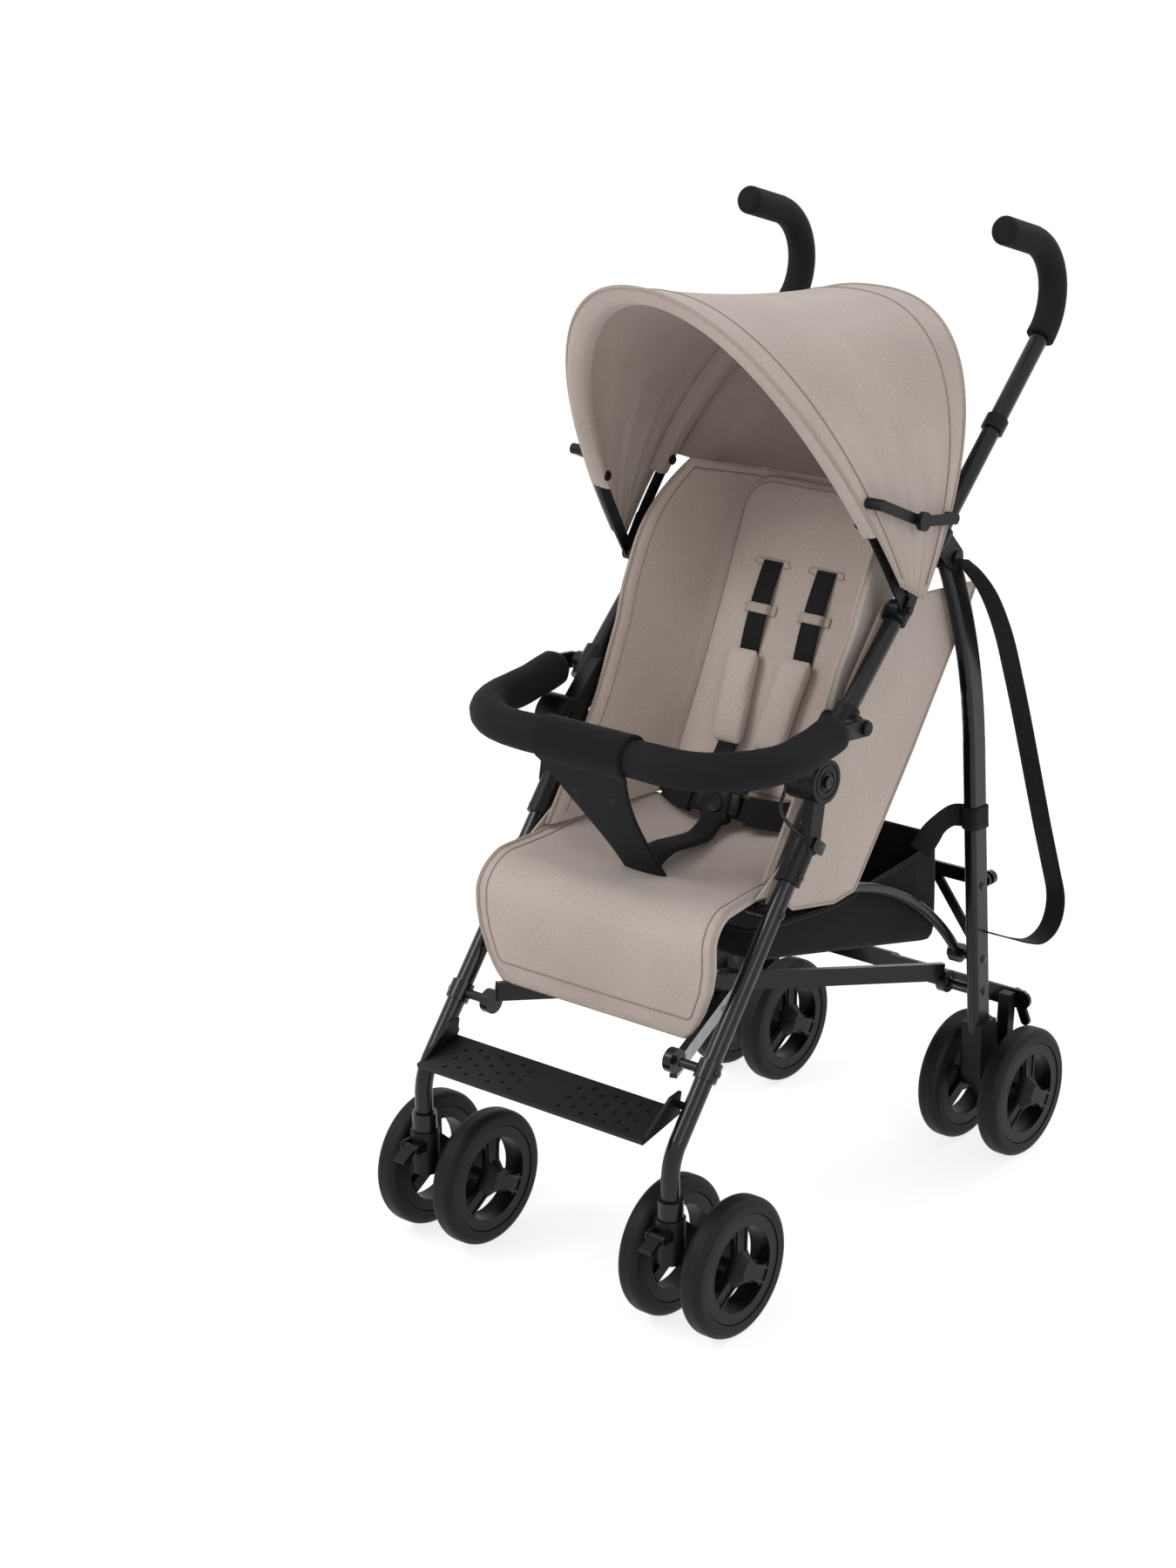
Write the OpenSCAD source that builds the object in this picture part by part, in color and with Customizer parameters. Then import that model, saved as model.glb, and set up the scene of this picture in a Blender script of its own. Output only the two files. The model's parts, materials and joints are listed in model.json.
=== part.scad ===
// Umbrella stroller: two folding side frames joined by crossed bars, paired wheels, fabric seat and canopy.
// Front faces -Y, +X is the rider's left, the floor is Z = 0, and Y = 0 is midway between the axles.

/* [Wheels] */
// Outside diameter of a tyre
wheel_d = 150; // [140:1:160]
// Width of a tyre
tyre_w = 27; // [22:1:30]
// Depth of a tyre from tread to bead
tyre_depth = 22; // [18:1:26]
// Distance between the middles of the two wheels of a pair
pair_gap = 80; // [76:1:90]
// Distance from the front axles to the rear axles
wheel_base = 535; // [500:1:570]
// Diameter of an axle rod
axle_d = 8; // [6:0.5:10]
// Distance from a swivel axis back to its axle
trail = 50; // [46:1:56]
// Width of a wheel's hub
hub_w = 30; // [26:1:32]

/* [Side frames] */
// Distance between the middles of the two side frames
track = 336; // [320:1:360]
// Diameter of the handle tubes and front leg tubes
tube_d = 19; // [17:0.5:20]
// Thickness of a rear leg across the stroller
leg_t = 15; // [13:0.5:16]
// Depth of a rear leg from front to back
leg_d = 28; // [24:1:30]
// Height of the disc hinges
hinge_z = 540; // [520:1:560]
// Distance of the disc hinges in front of mid wheelbase
hinge_set = 84; // [74:1:94]
// Diameter of the hinge discs
hinge_d = 46; // [42:1:50]
// Thickness of one hinge disc
disc_t = 18.7; // [16:0.1:19]
// Slope of the handle tubes from level
handle_angle = 43.8; // [40:0.1:48]
// Distance along the handle tube from hinge to rear leg pivot
pivot_at = 298; // [285:1:310]
// Distance of the rear leg pivot below the handle tube's axis
pivot_drop = 33; // [31:1:38]
// Height of the bend in a front leg
bend_z = 200; // [190:1:210]
// Forward lean of the rear legs
lean = 4; // [2:0.5:6]
// Height of the start of a rear leg's bend
leg_bend_z = 500; // [460:1:540]

/* [Handles] */
// Distance along the handle tube from hinge to grip
grip_at = 564; // [540:1:590]
// Diameter of a foam grip
grip_d = 31; // [28:1:36]
// Bend radius of a handle's crook
crook_r = 62; // [55:1:70]
// Turn of a handle's crook
crook_turn = 119; // [105:1:125]
// Straight length at the end of a handle
crook_end = 56; // [40:1:70]

/* [Links] */
// Diameter of a seat rail
rail_d = 12; // [10:0.5:13]
// Height of a seat rail's rear pivot
rail_z = 240; // [235:1:250]
// Height of a seat rail's front end
rail_front_z = 412; // [405:1:418]
// Height of a cross bar's rear joint
cross_rear_z = 200; // [195:1:205]
// Height of a cross bar's front joint
cross_front_z = 276; // [270:1:282]
// Height of a cross bar's section
cross_h = 20; // [16:1:22]
// Thickness of a cross bar
cross_t = 8; // [6:0.5:9]
// Height of the rear brace
brace_z = 330; // [322:1:340]
// Height of the brake bar
brake_z = 166; // [163:1:172]
// Depth of the footrest plate
footrest_d = 62; // [50:1:70]

/* [Bumper bar] */
// Diameter of the bumper bar's foam
bumper_d = 40; // [34:1:44]
// Reach of the bumper bar in front of its pivots
bumper_reach = 203; // [180:1:220]

/* [Soft parts] */
// Width of the seat
seat_w = 300; // [280:2:304]
// Thickness of the seat padding
pad_t = 10; // [8:1:12]
// Height of the seat's rear edge
seat_z = 440; // [434:1:450]
// Recline of the backrest from upright
recline = 25.5; // [20:0.5:28]
// Length of the backrest
back_l = 372; // [340:1:390]
// Height of the front canopy arch above its pivot
hood_r = 404; // [385:1:410]
// Thickness of the canopy fabric
cloth_t = 3; // [2:0.5:4]
// Width of the carry strap
strap_w = 25; // [20:1:28]

/* [Hidden] */
$fn = 48;
clear = 0.3;
pin_gap = 0.06;
pin_r = 4;
hinge_pin_r = 5;
stem_r = 6;
sleeve_wall = 4;
lap = 3;
swell = 0.2;
frame_paint = "#1c1d1f";
plastic = "#232426";
foam = "#1f1f21";
steel = "#b9bcc0";
taupe = "#b4a398";
webbing = "#18181a";
half = track / 2;
tube_r = tube_d / 2;
sleeve_r = tube_r + sleeve_wall;
wheel_r = wheel_d / 2;
axle_r = axle_d / 2;
rim_r = wheel_r - tyre_depth;
rear_y = wheel_base / 2;
front_y = -wheel_base / 2;
stem_y = front_y - trail;
bead_w = tyre_w - 9;
lip_h = 6;

// Side-plane points are [y, z]
hinge = [-hinge_set, hinge_z];
handle_dir = [cos(handle_angle), sin(handle_angle)];
handle_back = [sin(handle_angle), -cos(handle_angle)];
function on_handle(s, n = 0) = hinge + s * handle_dir + n * handle_back;
function in3(x, p) = [x, p[0], p[1]];
function unit(v) = v / norm(v);
function left_of(v) = [-v[1], v[0]];
function angle_of(v) = atan2(v[1], v[0]);

// Handle tube, from the hinge sleeve to the end of the crook
tube_at = 52;
sleeve_end = 86;
bumper_at = 69;
clip_at = 203;
clip_front = 13;
collar_at = 447;
pivot = on_handle(pivot_at, pivot_drop);
canopy_pivot = on_handle(clip_at, -clip_front);
bumper_pivot = on_handle(bumper_at, 2);
crook_start = on_handle(grip_at + 5);
crook_centre = crook_start - crook_r * handle_back;
crook_stop = crook_centre + crook_r * [sin(handle_angle + crook_turn), -cos(handle_angle + crook_turn)];
handle_end = crook_stop + crook_end * [cos(handle_angle + crook_turn), sin(handle_angle + crook_turn)];

// Front leg, from the hinge sleeve down to the caster stem
leg_top = hinge + [-5, -56];
leg_bend_r = 60;
leg_corner = [stem_y, bend_z];
leg_dir = unit(leg_corner - leg_top);
leg_turn = 270 - (angle_of(leg_dir) + 360);
leg_tangent = leg_bend_r * tan(leg_turn / 2);
leg_bend_start = leg_corner - leg_tangent * leg_dir;
leg_bend_centre = leg_bend_start + leg_bend_r * left_of(leg_dir);
caster_top = wheel_r + 63;
function on_front(z) = leg_top + (leg_top[1] - z) / (leg_top[1] - leg_corner[1]) * (leg_corner - leg_top);

// Rear leg: straight up from the foot, then an arc that ends at the pivot
axle_set = 25;
foot_z = wheel_r + 25;
leg_foot = [rear_y - axle_set, foot_z];
function on_rear(z) = [leg_foot[0] - (z - leg_foot[1]) * tan(lean), z];
arc_start = on_rear(leg_bend_z);
arc_chord = pivot - arc_start;
lean_up = [-sin(lean), cos(lean)];
lean_front = [-cos(lean), -sin(lean)];
arc_r = arc_chord * arc_chord / (2 * arc_chord * lean_front);
arc_sweep = 2 * atan2(arc_chord * lean_front, arc_chord * lean_up);
arc_centre = arc_start + arc_r * lean_front;
eye_r = 14.5;
ear_t = 4;

// Seat rail: straight from the front leg, then an arc down to the rear leg
rail_x = half - 27;
rail_eye_r = 11;
// The hinge pin's head ends just outside the rail, which swings past it
pin_head_x = rail_x + rail_d / 2 + swell + clear;
rail_front = on_front(rail_front_z);
rail_back = on_rear(rail_z);
rail_mid = [0, rail_front_z - 26];
rail_dir = unit(rail_mid - rail_front);
rail_chord = rail_back - rail_mid;
rail_sink = rail_chord * [rail_dir[1], -rail_dir[0]];
rail_arc_r = rail_chord * rail_chord / (2 * rail_sink);
rail_sweep = 2 * atan2(rail_sink, rail_chord * rail_dir);
rail_centre = rail_mid - rail_arc_r * left_of(rail_dir);

// Cross bars: one passes above the other, and each sits on a ball at its rear end
cross_x = half - 44;
ball_r = 8;
ball_eye_r = 13;
ball_eye_w = 10;
cross_rear = on_rear(cross_rear_z);
cross_front = on_front(cross_front_z);
cross_up = unit(left_of(cross_rear - cross_front));
cross_lift = cross_h / 2 + 0.5;
cross_span = [-2 * cross_x, cross_front[0] - cross_rear[0], cross_front[1] - cross_rear[1]];

// Rear brace and brake bar
brace_y = on_rear(brace_z)[0] + leg_d / 2 + 1;
link_t = 4;
link_w = 16;
brake_pivot = [rear_y + 25, wheel_r + 30];
lever_w = 15;
brake_y = brake_pivot[0] + 15;
bar_w = 22;

// Seat and backrest surfaces
seat_back_y = 15;
seat_front_y = -200;
apron_drop = 133;
seat_fall = 10.5;
apron_out = 36;
back_dir = [sin(recline), cos(recline)];
pad_half = 108;

// One side's pieces are drawn on the left and mirrored for the right
module to_side(s) { if (s > 0) children(); else mirror([1, 0, 0]) children(); }
// Draws in the side plane: local X is Y, local Y is Z, and extrusion runs along X
module side(x, p = [0, 0]) { translate(in3(x, p)) rotate([90, 0, 90]) children(); }
module rod(a, b, r) {
    v = b - a;
    translate(a) rotate([0, acos(v[2] / norm(v)), atan2(v[1], v[0])]) cylinder(h = norm(v), r = r);
}
module elbow(x, centre, bend_r, start, sweep, r) {
    side(x, centre) rotate(start) rotate_extrude(angle = sweep) translate([bend_r, 0]) circle(r);
}
// A straight run that laps over the bend it meets
module run(a, b, r) { rod(a, b + lap * unit(b - a), r + swell); }
module rounded_rect(w, d, r) {
    square([w - 2 * r, d], center = true);
    square([w, d - 2 * r], center = true);
    for (x = [-1, 1], y = [-1, 1]) translate([x * (w / 2 - r), y * (d / 2 - r)]) circle(r);
}
// A bar between two points of a plane, with round ends
module slot2d(a, b, w, ease = 0) {
    v = b - a;
    translate(a) circle(w / 2);
    translate(b) circle(w / 2);
    translate(a) rotate(angle_of(v)) translate([0, ease - w / 2]) square([norm(v), w - 2 * ease]);
}
// A closed sheet between two grids of points
module sheet(front, back) {
    n = len(front);
    m = len(front[0]);
    k = n * m;
    pts = [for (g = [front, back], row = g, p = row) p];
    quads = concat(
        [for (i = [0:n - 2], j = [0:m - 2])
            [i * m + j, i * m + j + 1, (i + 1) * m + j + 1, (i + 1) * m + j]],
        [for (i = [0:n - 2], j = [0:m - 2])
            [k + i * m + j, k + (i + 1) * m + j, k + (i + 1) * m + j + 1, k + i * m + j + 1]],
        [for (i = [0:n - 2]) [i * m, (i + 1) * m, k + (i + 1) * m, k + i * m]],
        [for (i = [0:n - 2]) [i * m + m - 1, k + i * m + m - 1, k + (i + 1) * m + m - 1, (i + 1)
            * m + m - 1]],
        [for (j = [0:m - 2]) [j, k + j, k + j + 1, j + 1]],
        [for (j = [0:m - 2])
            [(n - 1) * m + j, (n - 1) * m + j + 1, k + (n - 1) * m + j + 1, k + (n - 1) * m + j]]);
    polyhedron(pts, [for (q = quads, t = [[q[0], q[1], q[2]], [q[0], q[2], q[3]]]) t]);
}
// A strip of rectangular section through rings of four corners
module strip(rings) {
    n = len(rings);
    pts = [for (ring = rings, p = ring) p];
    quads = [for (i = [0:n - 2], j = [0:3]) [4 * i + j, 4 * i + (j + 1) % 4, 4 * i + 4 + (j + 1)
        % 4, 4 * i + 4 + j]];
    last = 4 * (n - 1);
    faces = concat([for (q = quads, t = [[q[0], q[2], q[1]], [q[0], q[3], q[2]]]) t],
        [[0, 1, 2], [0, 2, 3], [last, last + 2, last + 1], [last, last + 3, last + 2]]);
    polyhedron(pts, faces);
}

// Rear frame
module rear_leg(s) {
    brace_pin_y = on_rear(brace_z)[0] + leg_d / 2;
    color(frame_paint) to_side(s) difference() {
        union() {
            translate(in3(half, leg_foot)) rotate([lean, 0, 0])
                linear_extrude((leg_bend_z - foot_z) / cos(lean) + lap)
                    rounded_rect(leg_t + 2 * swell, leg_d + 2 * swell, 5 + swell);
            side(half, arc_centre) rotate(lean) rotate_extrude(angle = arc_sweep)
                translate([arc_r, 0]) rounded_rect(leg_d, leg_t, 5);
            side(half - leg_t / 2, pivot) cylinder(h = leg_t, r = eye_r);
            rail_pin_end = rail_x - rail_d / 2 - clear;
            side(rail_pin_end - 3, rail_back) cylinder(h = half - rail_pin_end, r = hinge_pin_r);
            side(rail_pin_end - 3, rail_back) cylinder(h = 3, r = hinge_pin_r + 3);
            cross_joint = in3(cross_x, cross_rear);
            rod(cross_joint, cross_joint + [half - cross_x, 0, 0], ball_r / 2);
            translate(cross_joint) sphere(ball_r);
            rod([half, brace_pin_y - 3, brace_z], [half, brace_y + 2 * link_t + 3, brace_z], pin_r);
            rod([half, brace_y + 2 * link_t + 1, brace_z], [half, brace_y + 2 * link_t + 8,
                brace_z], 2 * pin_r);
        }
        side(half - leg_t, pivot) cylinder(h = 2 * leg_t, r = pin_r + pin_gap);
    }
}
module rear_hub(s) {
    hub_half = 13;
    spacer = pair_gap / 2 - hub_w / 2 - clear;
    socket_top = foot_z + 62;
    color(plastic) to_side(s) difference() {
        union() {
            side(half - hub_half) linear_extrude(2 * hub_half) polygon([
                [leg_foot[0] - 18, socket_top], [leg_foot[0] + 13, socket_top], [leg_foot[0] + 17,
                    wheel_r + 48],
                [brake_pivot[0] + 6, brake_pivot[1] + 8], [brake_pivot[0] + 7, brake_pivot[1] - 6],
                [rear_y + 14, wheel_r - 8], [rear_y + 6, wheel_r - 15], [rear_y - 12, wheel_r - 14],
                [leg_foot[0] - 17, wheel_r + 20]]);
            side(half - spacer, [rear_y, wheel_r]) cylinder(h = 2 * spacer, r = 12);
        }
        translate(in3(half, on_rear(foot_z - 1))) rotate([lean, 0, 0])
            linear_extrude(80) rounded_rect(leg_t + 3 * swell, leg_d + 3 * swell, 5);
        side(half - pair_gap, [rear_y, wheel_r]) cylinder(h = 2 * pair_gap, r = axle_r + pin_gap);
        side(half - lever_w / 2 - clear) linear_extrude(lever_w + 2 * clear) polygon([
            [brake_pivot[0] - 10, brake_pivot[1] + 40], [brake_pivot[0] + 30, brake_pivot[1] + 40],
            [brake_pivot[0] + 30, brake_pivot[1] - 12], [brake_pivot[0] - 10, brake_pivot[1] - 12]]);
        side(half - hub_half - 1, brake_pivot) cylinder(h = 2 * hub_half + 2, r = 3 + pin_gap);
    }
}
module axle(s, y) {
    reach = pair_gap / 2 + hub_w / 2;
    color(steel) to_side(s) {
        side(half - reach - 6, [y, wheel_r]) cylinder(h = 2 * reach + 12, r = axle_r);
        for (x = [half - reach - 6, half + reach + clear]) side(x, [y, wheel_r])
            cylinder(h = 6 - clear, r = axle_r + 3);
    }
}
// Wheels
module rim_pair(s, y) {
    color(plastic) to_side(s) for (x = [half - pair_gap / 2, half + pair_gap / 2])
        side(x, [y, wheel_r]) difference() {
            union() {
                rotate_extrude() translate([rim_r - 7, -tyre_w / 2 + 1]) square([7, tyre_w - 2]);
                for (lip = [-tyre_w / 2 + 1, bead_w / 2 + clear])
                    rotate_extrude() translate([rim_r - 1, lip]) square([lip_h, (tyre_w - bead_w)
                        / 2 - 1 - clear]);
                translate([0, 0, -6]) linear_extrude(12) intersection() {
                    circle(rim_r - 2);
                    union() {
                        circle(19);
                        for (a = [90, 210, 330]) rotate(a) translate([0, -12]) square([rim_r, 24]);
                    }
                }
                translate([0, 0, -10]) linear_extrude(20) intersection() {
                    circle(rim_r - 10);
                    union() {
                        circle(14);
                        for (a = [90, 210, 330]) rotate(a) translate([0, -7]) square([rim_r, 14]);
                    }
                }
                translate([0, 0, -hub_w / 2]) cylinder(h = hub_w, r = 11);
            }
            translate([0, 0, -hub_w]) cylinder(h = 2 * hub_w, r = axle_r + pin_gap);
        }
}
module tyre_pair(s, y) {
    shoulder = 9;
    color("#1a1a1b") to_side(s) for (x = [half - pair_gap / 2, half + pair_gap / 2])
        side(x, [y, wheel_r]) rotate_extrude() {
            translate([rim_r + clear, -bead_w / 2]) square([tyre_depth - shoulder, bead_w]);
            translate([rim_r + lip_h, -tyre_w / 2]) square([tyre_depth - lip_h - shoulder, tyre_w]);
            translate([wheel_r - shoulder - 1, -tyre_w / 2 + shoulder]) square([shoulder + 1,
                tyre_w - 2 * shoulder]);
            for (e = [-1, 1]) translate([wheel_r - shoulder, e * (tyre_w / 2 - shoulder)])
                circle(shoulder);
        }
}
// Handles
module handle_tube(s) {
    color(frame_paint) to_side(s) {
        run(in3(half, on_handle(tube_at)), in3(half, crook_start), tube_r);
        elbow(half, crook_centre, crook_r, handle_angle - 90, crook_turn, tube_r);
        run(in3(half, handle_end), in3(half, crook_stop), tube_r);
    }
}
module grip(s) {
    grip_r = grip_d / 2;
    lip = 5;
    bore = tube_r + 0.1;
    color(foam) to_side(s) difference() {
        union() {
            run(in3(half, on_handle(grip_at)), in3(half, crook_start), grip_r);
            elbow(half, crook_centre, crook_r, handle_angle - 90, crook_turn, grip_r);
            run(in3(half, handle_end), in3(half, crook_stop), grip_r);
            translate(in3(half, handle_end)) rotate([handle_angle + crook_turn - 90, 0, 0])
                translate([0, 0, -1]) rotate_extrude() {
                    square([grip_r - lip + 1, lip + 2]);
                    square([grip_r, 2.5]);
                    translate([grip_r - lip, 2]) circle(lip - 0.4);
                }
        }
        run(in3(half, on_handle(grip_at - 1)), in3(half, crook_start), bore);
        elbow(half, crook_centre, crook_r, handle_angle - 90, crook_turn, bore);
        run(in3(half, handle_end), in3(half, crook_stop), bore);
    }
}
module handle_brackets(s) {
    ear_x = leg_t / 2 + clear;
    color(plastic) to_side(s) {
        difference() {
            union() {
                rod(in3(half, on_handle(pivot_at - 14)), in3(half, on_handle(pivot_at + 14)),
                    sleeve_r + 0.5);
                for (x = [half - ear_x - ear_t, half + ear_x]) side(x) linear_extrude(ear_t)
                    slot2d(on_handle(pivot_at, 8), pivot, 26);
            }
            rod(in3(half, on_handle(pivot_at - 20)), in3(half, on_handle(pivot_at + 20)),
                tube_r + swell + 0.1);
            side(half - ear_x, pivot) cylinder(h = 2 * ear_x, r = eye_r + 1);
        }
        side(half - ear_x - ear_t, pivot) cylinder(h = 2 * (ear_x + ear_t) + 3, r = pin_r);
        side(half + ear_x + ear_t, pivot) cylinder(h = 3, r = 2 * pin_r);
        difference() {
            union() {
                rod(in3(half, on_handle(clip_at - 9)), in3(half, on_handle(clip_at + 9)), sleeve_r);
                side(half, canopy_pivot) cylinder(h = tube_r + 3, r = 9);
                side(half, canopy_pivot) cylinder(h = bow_x - half + 2 * bow_t + 3, r = pin_r);
            }
            rod(in3(half, on_handle(clip_at - 20)), in3(half, on_handle(clip_at + 20)),
                tube_r + swell + 0.1);
        }
        difference() {
            rod(in3(half, on_handle(collar_at - 8)), in3(half, on_handle(collar_at + 8)), sleeve_r - 1);
            rod(in3(half, on_handle(collar_at - 9)), in3(half, on_handle(collar_at + 9)),
                tube_r + swell + 0.1);
        }
    }
}
module upper_hinge(s) {
    inner_x = half - clear - disc_t;
    color(plastic) to_side(s) difference() {
        union() {
            side(inner_x, hinge) cylinder(h = disc_t, r = hinge_d / 2);
            side(inner_x) linear_extrude(disc_t) slot2d(hinge, on_handle(sleeve_end - 20), 24);
            rod(in3(half, on_handle(tube_at - 4)), in3(half, on_handle(sleeve_end)), sleeve_r);
            side(half, bumper_pivot) cylinder(h = sleeve_r + 6, r = 11);
            side(half, bumper_pivot) cylinder(h = bumper_x - half + 15, r = pin_r);
        }
        rod(in3(half, on_handle(tube_at)), in3(half, on_handle(sleeve_end + 9)), tube_r + swell + 0.1);
        side(inner_x - 1, hinge) cylinder(h = disc_t + 2, r = hinge_pin_r + pin_gap);
    }
}
// Front legs and casters
module front_leg(s) {
    color(frame_paint) to_side(s) {
        run(in3(half, leg_top), in3(half, leg_bend_start), tube_r);
        elbow(half, leg_bend_centre, leg_bend_r, angle_of(leg_dir) - 90, leg_turn, tube_r);
        run([half, stem_y, caster_top + 1], [half, stem_y, bend_z - leg_tangent], tube_r);
        rod([half, stem_y, caster_top + clear], [half, stem_y, caster_top + 20], sleeve_r);
        rod([half, stem_y, caster_top - 40], [half, stem_y, caster_top + 5], stem_r);
        rod(in3(rail_x + rail_d / 2 + 1, rail_front), in3(half, rail_front), 7);
        rod(in3(cross_x + ball_eye_w / 2 + 4, cross_front), in3(half, cross_front), ball_r / 2 + 1);
        rod(in3(half, on_front(cross_front_z - 8)), in3(half, on_front(cross_front_z + 8)), sleeve_r - 1);
    }
}
module lower_hinge(s) {
    outer_x = half + clear;
    sleeve_stop = leg_top + 58 * leg_dir;
    color(plastic) to_side(s) difference() {
        union() {
            side(outer_x, hinge) cylinder(h = disc_t, r = hinge_d / 2);
            side(outer_x) linear_extrude(sleeve_r - clear) slot2d(hinge, leg_top + 14 * leg_dir, 19.6);
            rod(in3(half, leg_top - 2 * leg_dir), in3(half, sleeve_stop), sleeve_r);
            side(pin_head_x, hinge) cylinder(h = outer_x + 2 - pin_head_x, r = hinge_pin_r);
            side(pin_head_x, hinge) cylinder(h = half - disc_t - 2 * clear - pin_head_x,
                r = hinge_pin_r + 4);
        }
        rod(in3(half, leg_top), in3(half, sleeve_stop + 5 * leg_dir), tube_r + swell + 0.1);
        for (r = [10, 17]) side(outer_x + disc_t - 1.2, hinge) rotate_extrude() translate([r, 0])
            square([1.6, 3]);
    }
}
lock_pin = [stem_y - 22, caster_top - 14];
module caster_fork(s) {
    body_half = 12;
    spacer = pair_gap / 2 - hub_w / 2 - clear;
    color(plastic) to_side(s) difference() {
        union() {
            rod([half, stem_y, caster_top - 48], [half, stem_y, caster_top], sleeve_r + 2);
            side(half - body_half) linear_extrude(2 * body_half) polygon([
                [stem_y - 8, caster_top - 8], [stem_y + 12, caster_top - 6], [front_y + 10, wheel_r + 14],
                [front_y + 14, wheel_r], [front_y, wheel_r - 14], [front_y - 16, wheel_r - 10],
                [stem_y - 6, caster_top - 46]]);
            side(half - spacer, [front_y, wheel_r]) cylinder(h = 2 * spacer, r = 12);
            for (x = [half - 12, half + 9]) side(x) linear_extrude(3) slot2d([stem_y, lock_pin[1]],
                lock_pin, 10);
        }
        translate([half, stem_y, caster_top - 41]) cylinder(h = 60, r = stem_r + pin_gap);
        side(half - pair_gap, [front_y, wheel_r]) cylinder(h = 2 * pair_gap, r = axle_r + pin_gap);
        side(half - 20, lock_pin) cylinder(h = 40, r = 2 + pin_gap);
    }
}
module swivel_lock(s) {
    color(plastic) to_side(s) {
        side(half - 8.6, lock_pin) cylinder(h = 17.2, r = 4);
        side(half - 11.5, lock_pin) cylinder(h = 23, r = 2);
        side(half - 8) linear_extrude(16) slot2d(lock_pin, lock_pin + [-17, -9], 5);
    }
}
// Links
module seat_rail(s) {
    color(frame_paint) to_side(s) difference() {
        union() {
            run(in3(rail_x, rail_front), in3(rail_x, rail_mid), rail_d / 2);
            side(rail_x, rail_centre) rotate(angle_of(rail_dir) + 90 - rail_sweep)
                rotate_extrude(angle = rail_sweep) translate([rail_arc_r, 0]) circle(rail_d / 2);
            side(rail_x - rail_d / 2, rail_back) cylinder(h = rail_d, r = rail_eye_r);
            side(rail_x - rail_d / 2, rail_front) cylinder(h = rail_d + 0.6, r = 7.5);
        }
        side(rail_x - rail_d, rail_back) cylinder(h = 2 * rail_d, r = hinge_pin_r + pin_gap);
    }
}
module cross_bar(s) {
    tilt = -asin(cross_up[0]);
    reach = cross_span * [0, cos(tilt), sin(tilt)];
    length = norm(cross_span);
    joint = in3(cross_x, cross_rear);
    lift = s * cross_lift;
    color(frame_paint) to_side(s) difference() {
        union() {
            translate(joint) rotate([tilt, 0, 0]) rotate([0, 0, atan2(reach, cross_span[0])]) {
                translate([5, -cross_t / 2, lift - cross_h / 2]) cube([length - 10, cross_t, cross_h]);
                translate([length / 2, 0, s > 0 ? lift + cross_h / 2 - 1 : lift - cross_h / 2 - 2])
                    cylinder(h = 3, r = 12);
            }
            side(cross_x - ball_eye_w / 2, [joint[1], joint[2]]) cylinder(h = ball_eye_w, r = ball_eye_r);
            side(-cross_x - ball_eye_w / 2, [joint[1] + cross_span[1], joint[2] + cross_span[2]])
                cylinder(h = ball_eye_w, r = ball_eye_r);
        }
        translate(joint) rotate([0, 90, 0]) sphere(ball_r + clear);
    }
}
module brace_link(s) {
    stay_foot = [half - leg_t / 2 - 10, brace_z - 70];
    stay_head = [half - 70, brace_z];
    plate_y = s > 0 ? brace_y : brace_y + link_t + 0.5;
    color(frame_paint) to_side(s) difference() {
        union() {
            translate([0, plate_y + link_t, 0]) rotate([90, 0, 0]) linear_extrude(link_t) {
                slot2d([-12, brace_z], [half, brace_z], link_w);
                slot2d(stay_head, stay_foot, 11);
                slot2d([stay_foot[0], brace_z], stay_foot, 11);
            }
            if (s < 0) for (x = [-16, 12]) side(x, [plate_y, brace_z]) translate([link_t - 1, -26, 0])
                linear_extrude(4) square([17, 26]);
        }
        rod([half, brace_y - 2, brace_z], [half, brace_y + 4 * link_t, brace_z], pin_r + pin_gap);
        if (s < 0) side(-20, lock_pedal_pin) cylinder(h = 40, r = 3 + pin_gap);
    }
}
lock_pedal_pin = [brace_y + 2 * link_t + 11, brace_z - 17];
module fold_lock_pedal() {
    color(plastic) to_side(-1) {
        side(-11.6, lock_pedal_pin) cylinder(h = 23.2, r = 6);
        side(-15.6, lock_pedal_pin) cylinder(h = 31.2, r = 3);
        side(-11) linear_extrude(22) slot2d(lock_pedal_pin, lock_pedal_pin + [30, -10], 8);
        side(-22) linear_extrude(44) slot2d(lock_pedal_pin + [26, -9], lock_pedal_pin + [42, -14], 8);
    }
}
module brake_lever(s) {
    color(plastic) to_side(s) {
        side(half - lever_w / 2) linear_extrude(lever_w) {
            translate(brake_pivot) circle(7);
            polygon([brake_pivot + [-6, 0], brake_pivot + [6, 0], [brake_y - 5, brake_z - 10],
                [brake_y - 5, brake_z + 10], [brake_y - 17, brake_z + 10]]);
        }
        side(half - lever_w / 2 - 5, brake_pivot) cylinder(h = lever_w + 10, r = 3);
        rod([half, brake_y - 15, brake_z], [half, brake_y + 2 * link_t + 4, brake_z], pin_r);
        rod([half, brake_y + 2 * link_t + 1.5, brake_z], [half, brake_y + 2 * link_t + 5, brake_z],
            2 * pin_r);
    }
}
module brake_bar(s) {
    plate_y = s > 0 ? brake_y : brake_y + link_t + 0.5;
    tab = [half + 18, brake_z - 24];
    color("#1b1817") to_side(s) difference() {
        translate([0, plate_y + link_t, 0]) rotate([90, 0, 0]) linear_extrude(link_t) {
            slot2d([0, brake_z], [half + 13, brake_z], bar_w);
            slot2d([half + 8, brake_z], tab, 12, 0.03);
        }
        rod([half, brake_y - 2, brake_z], [half, brake_y + 4 * link_t, brake_z], pin_r + pin_gap);
    }
}
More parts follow.
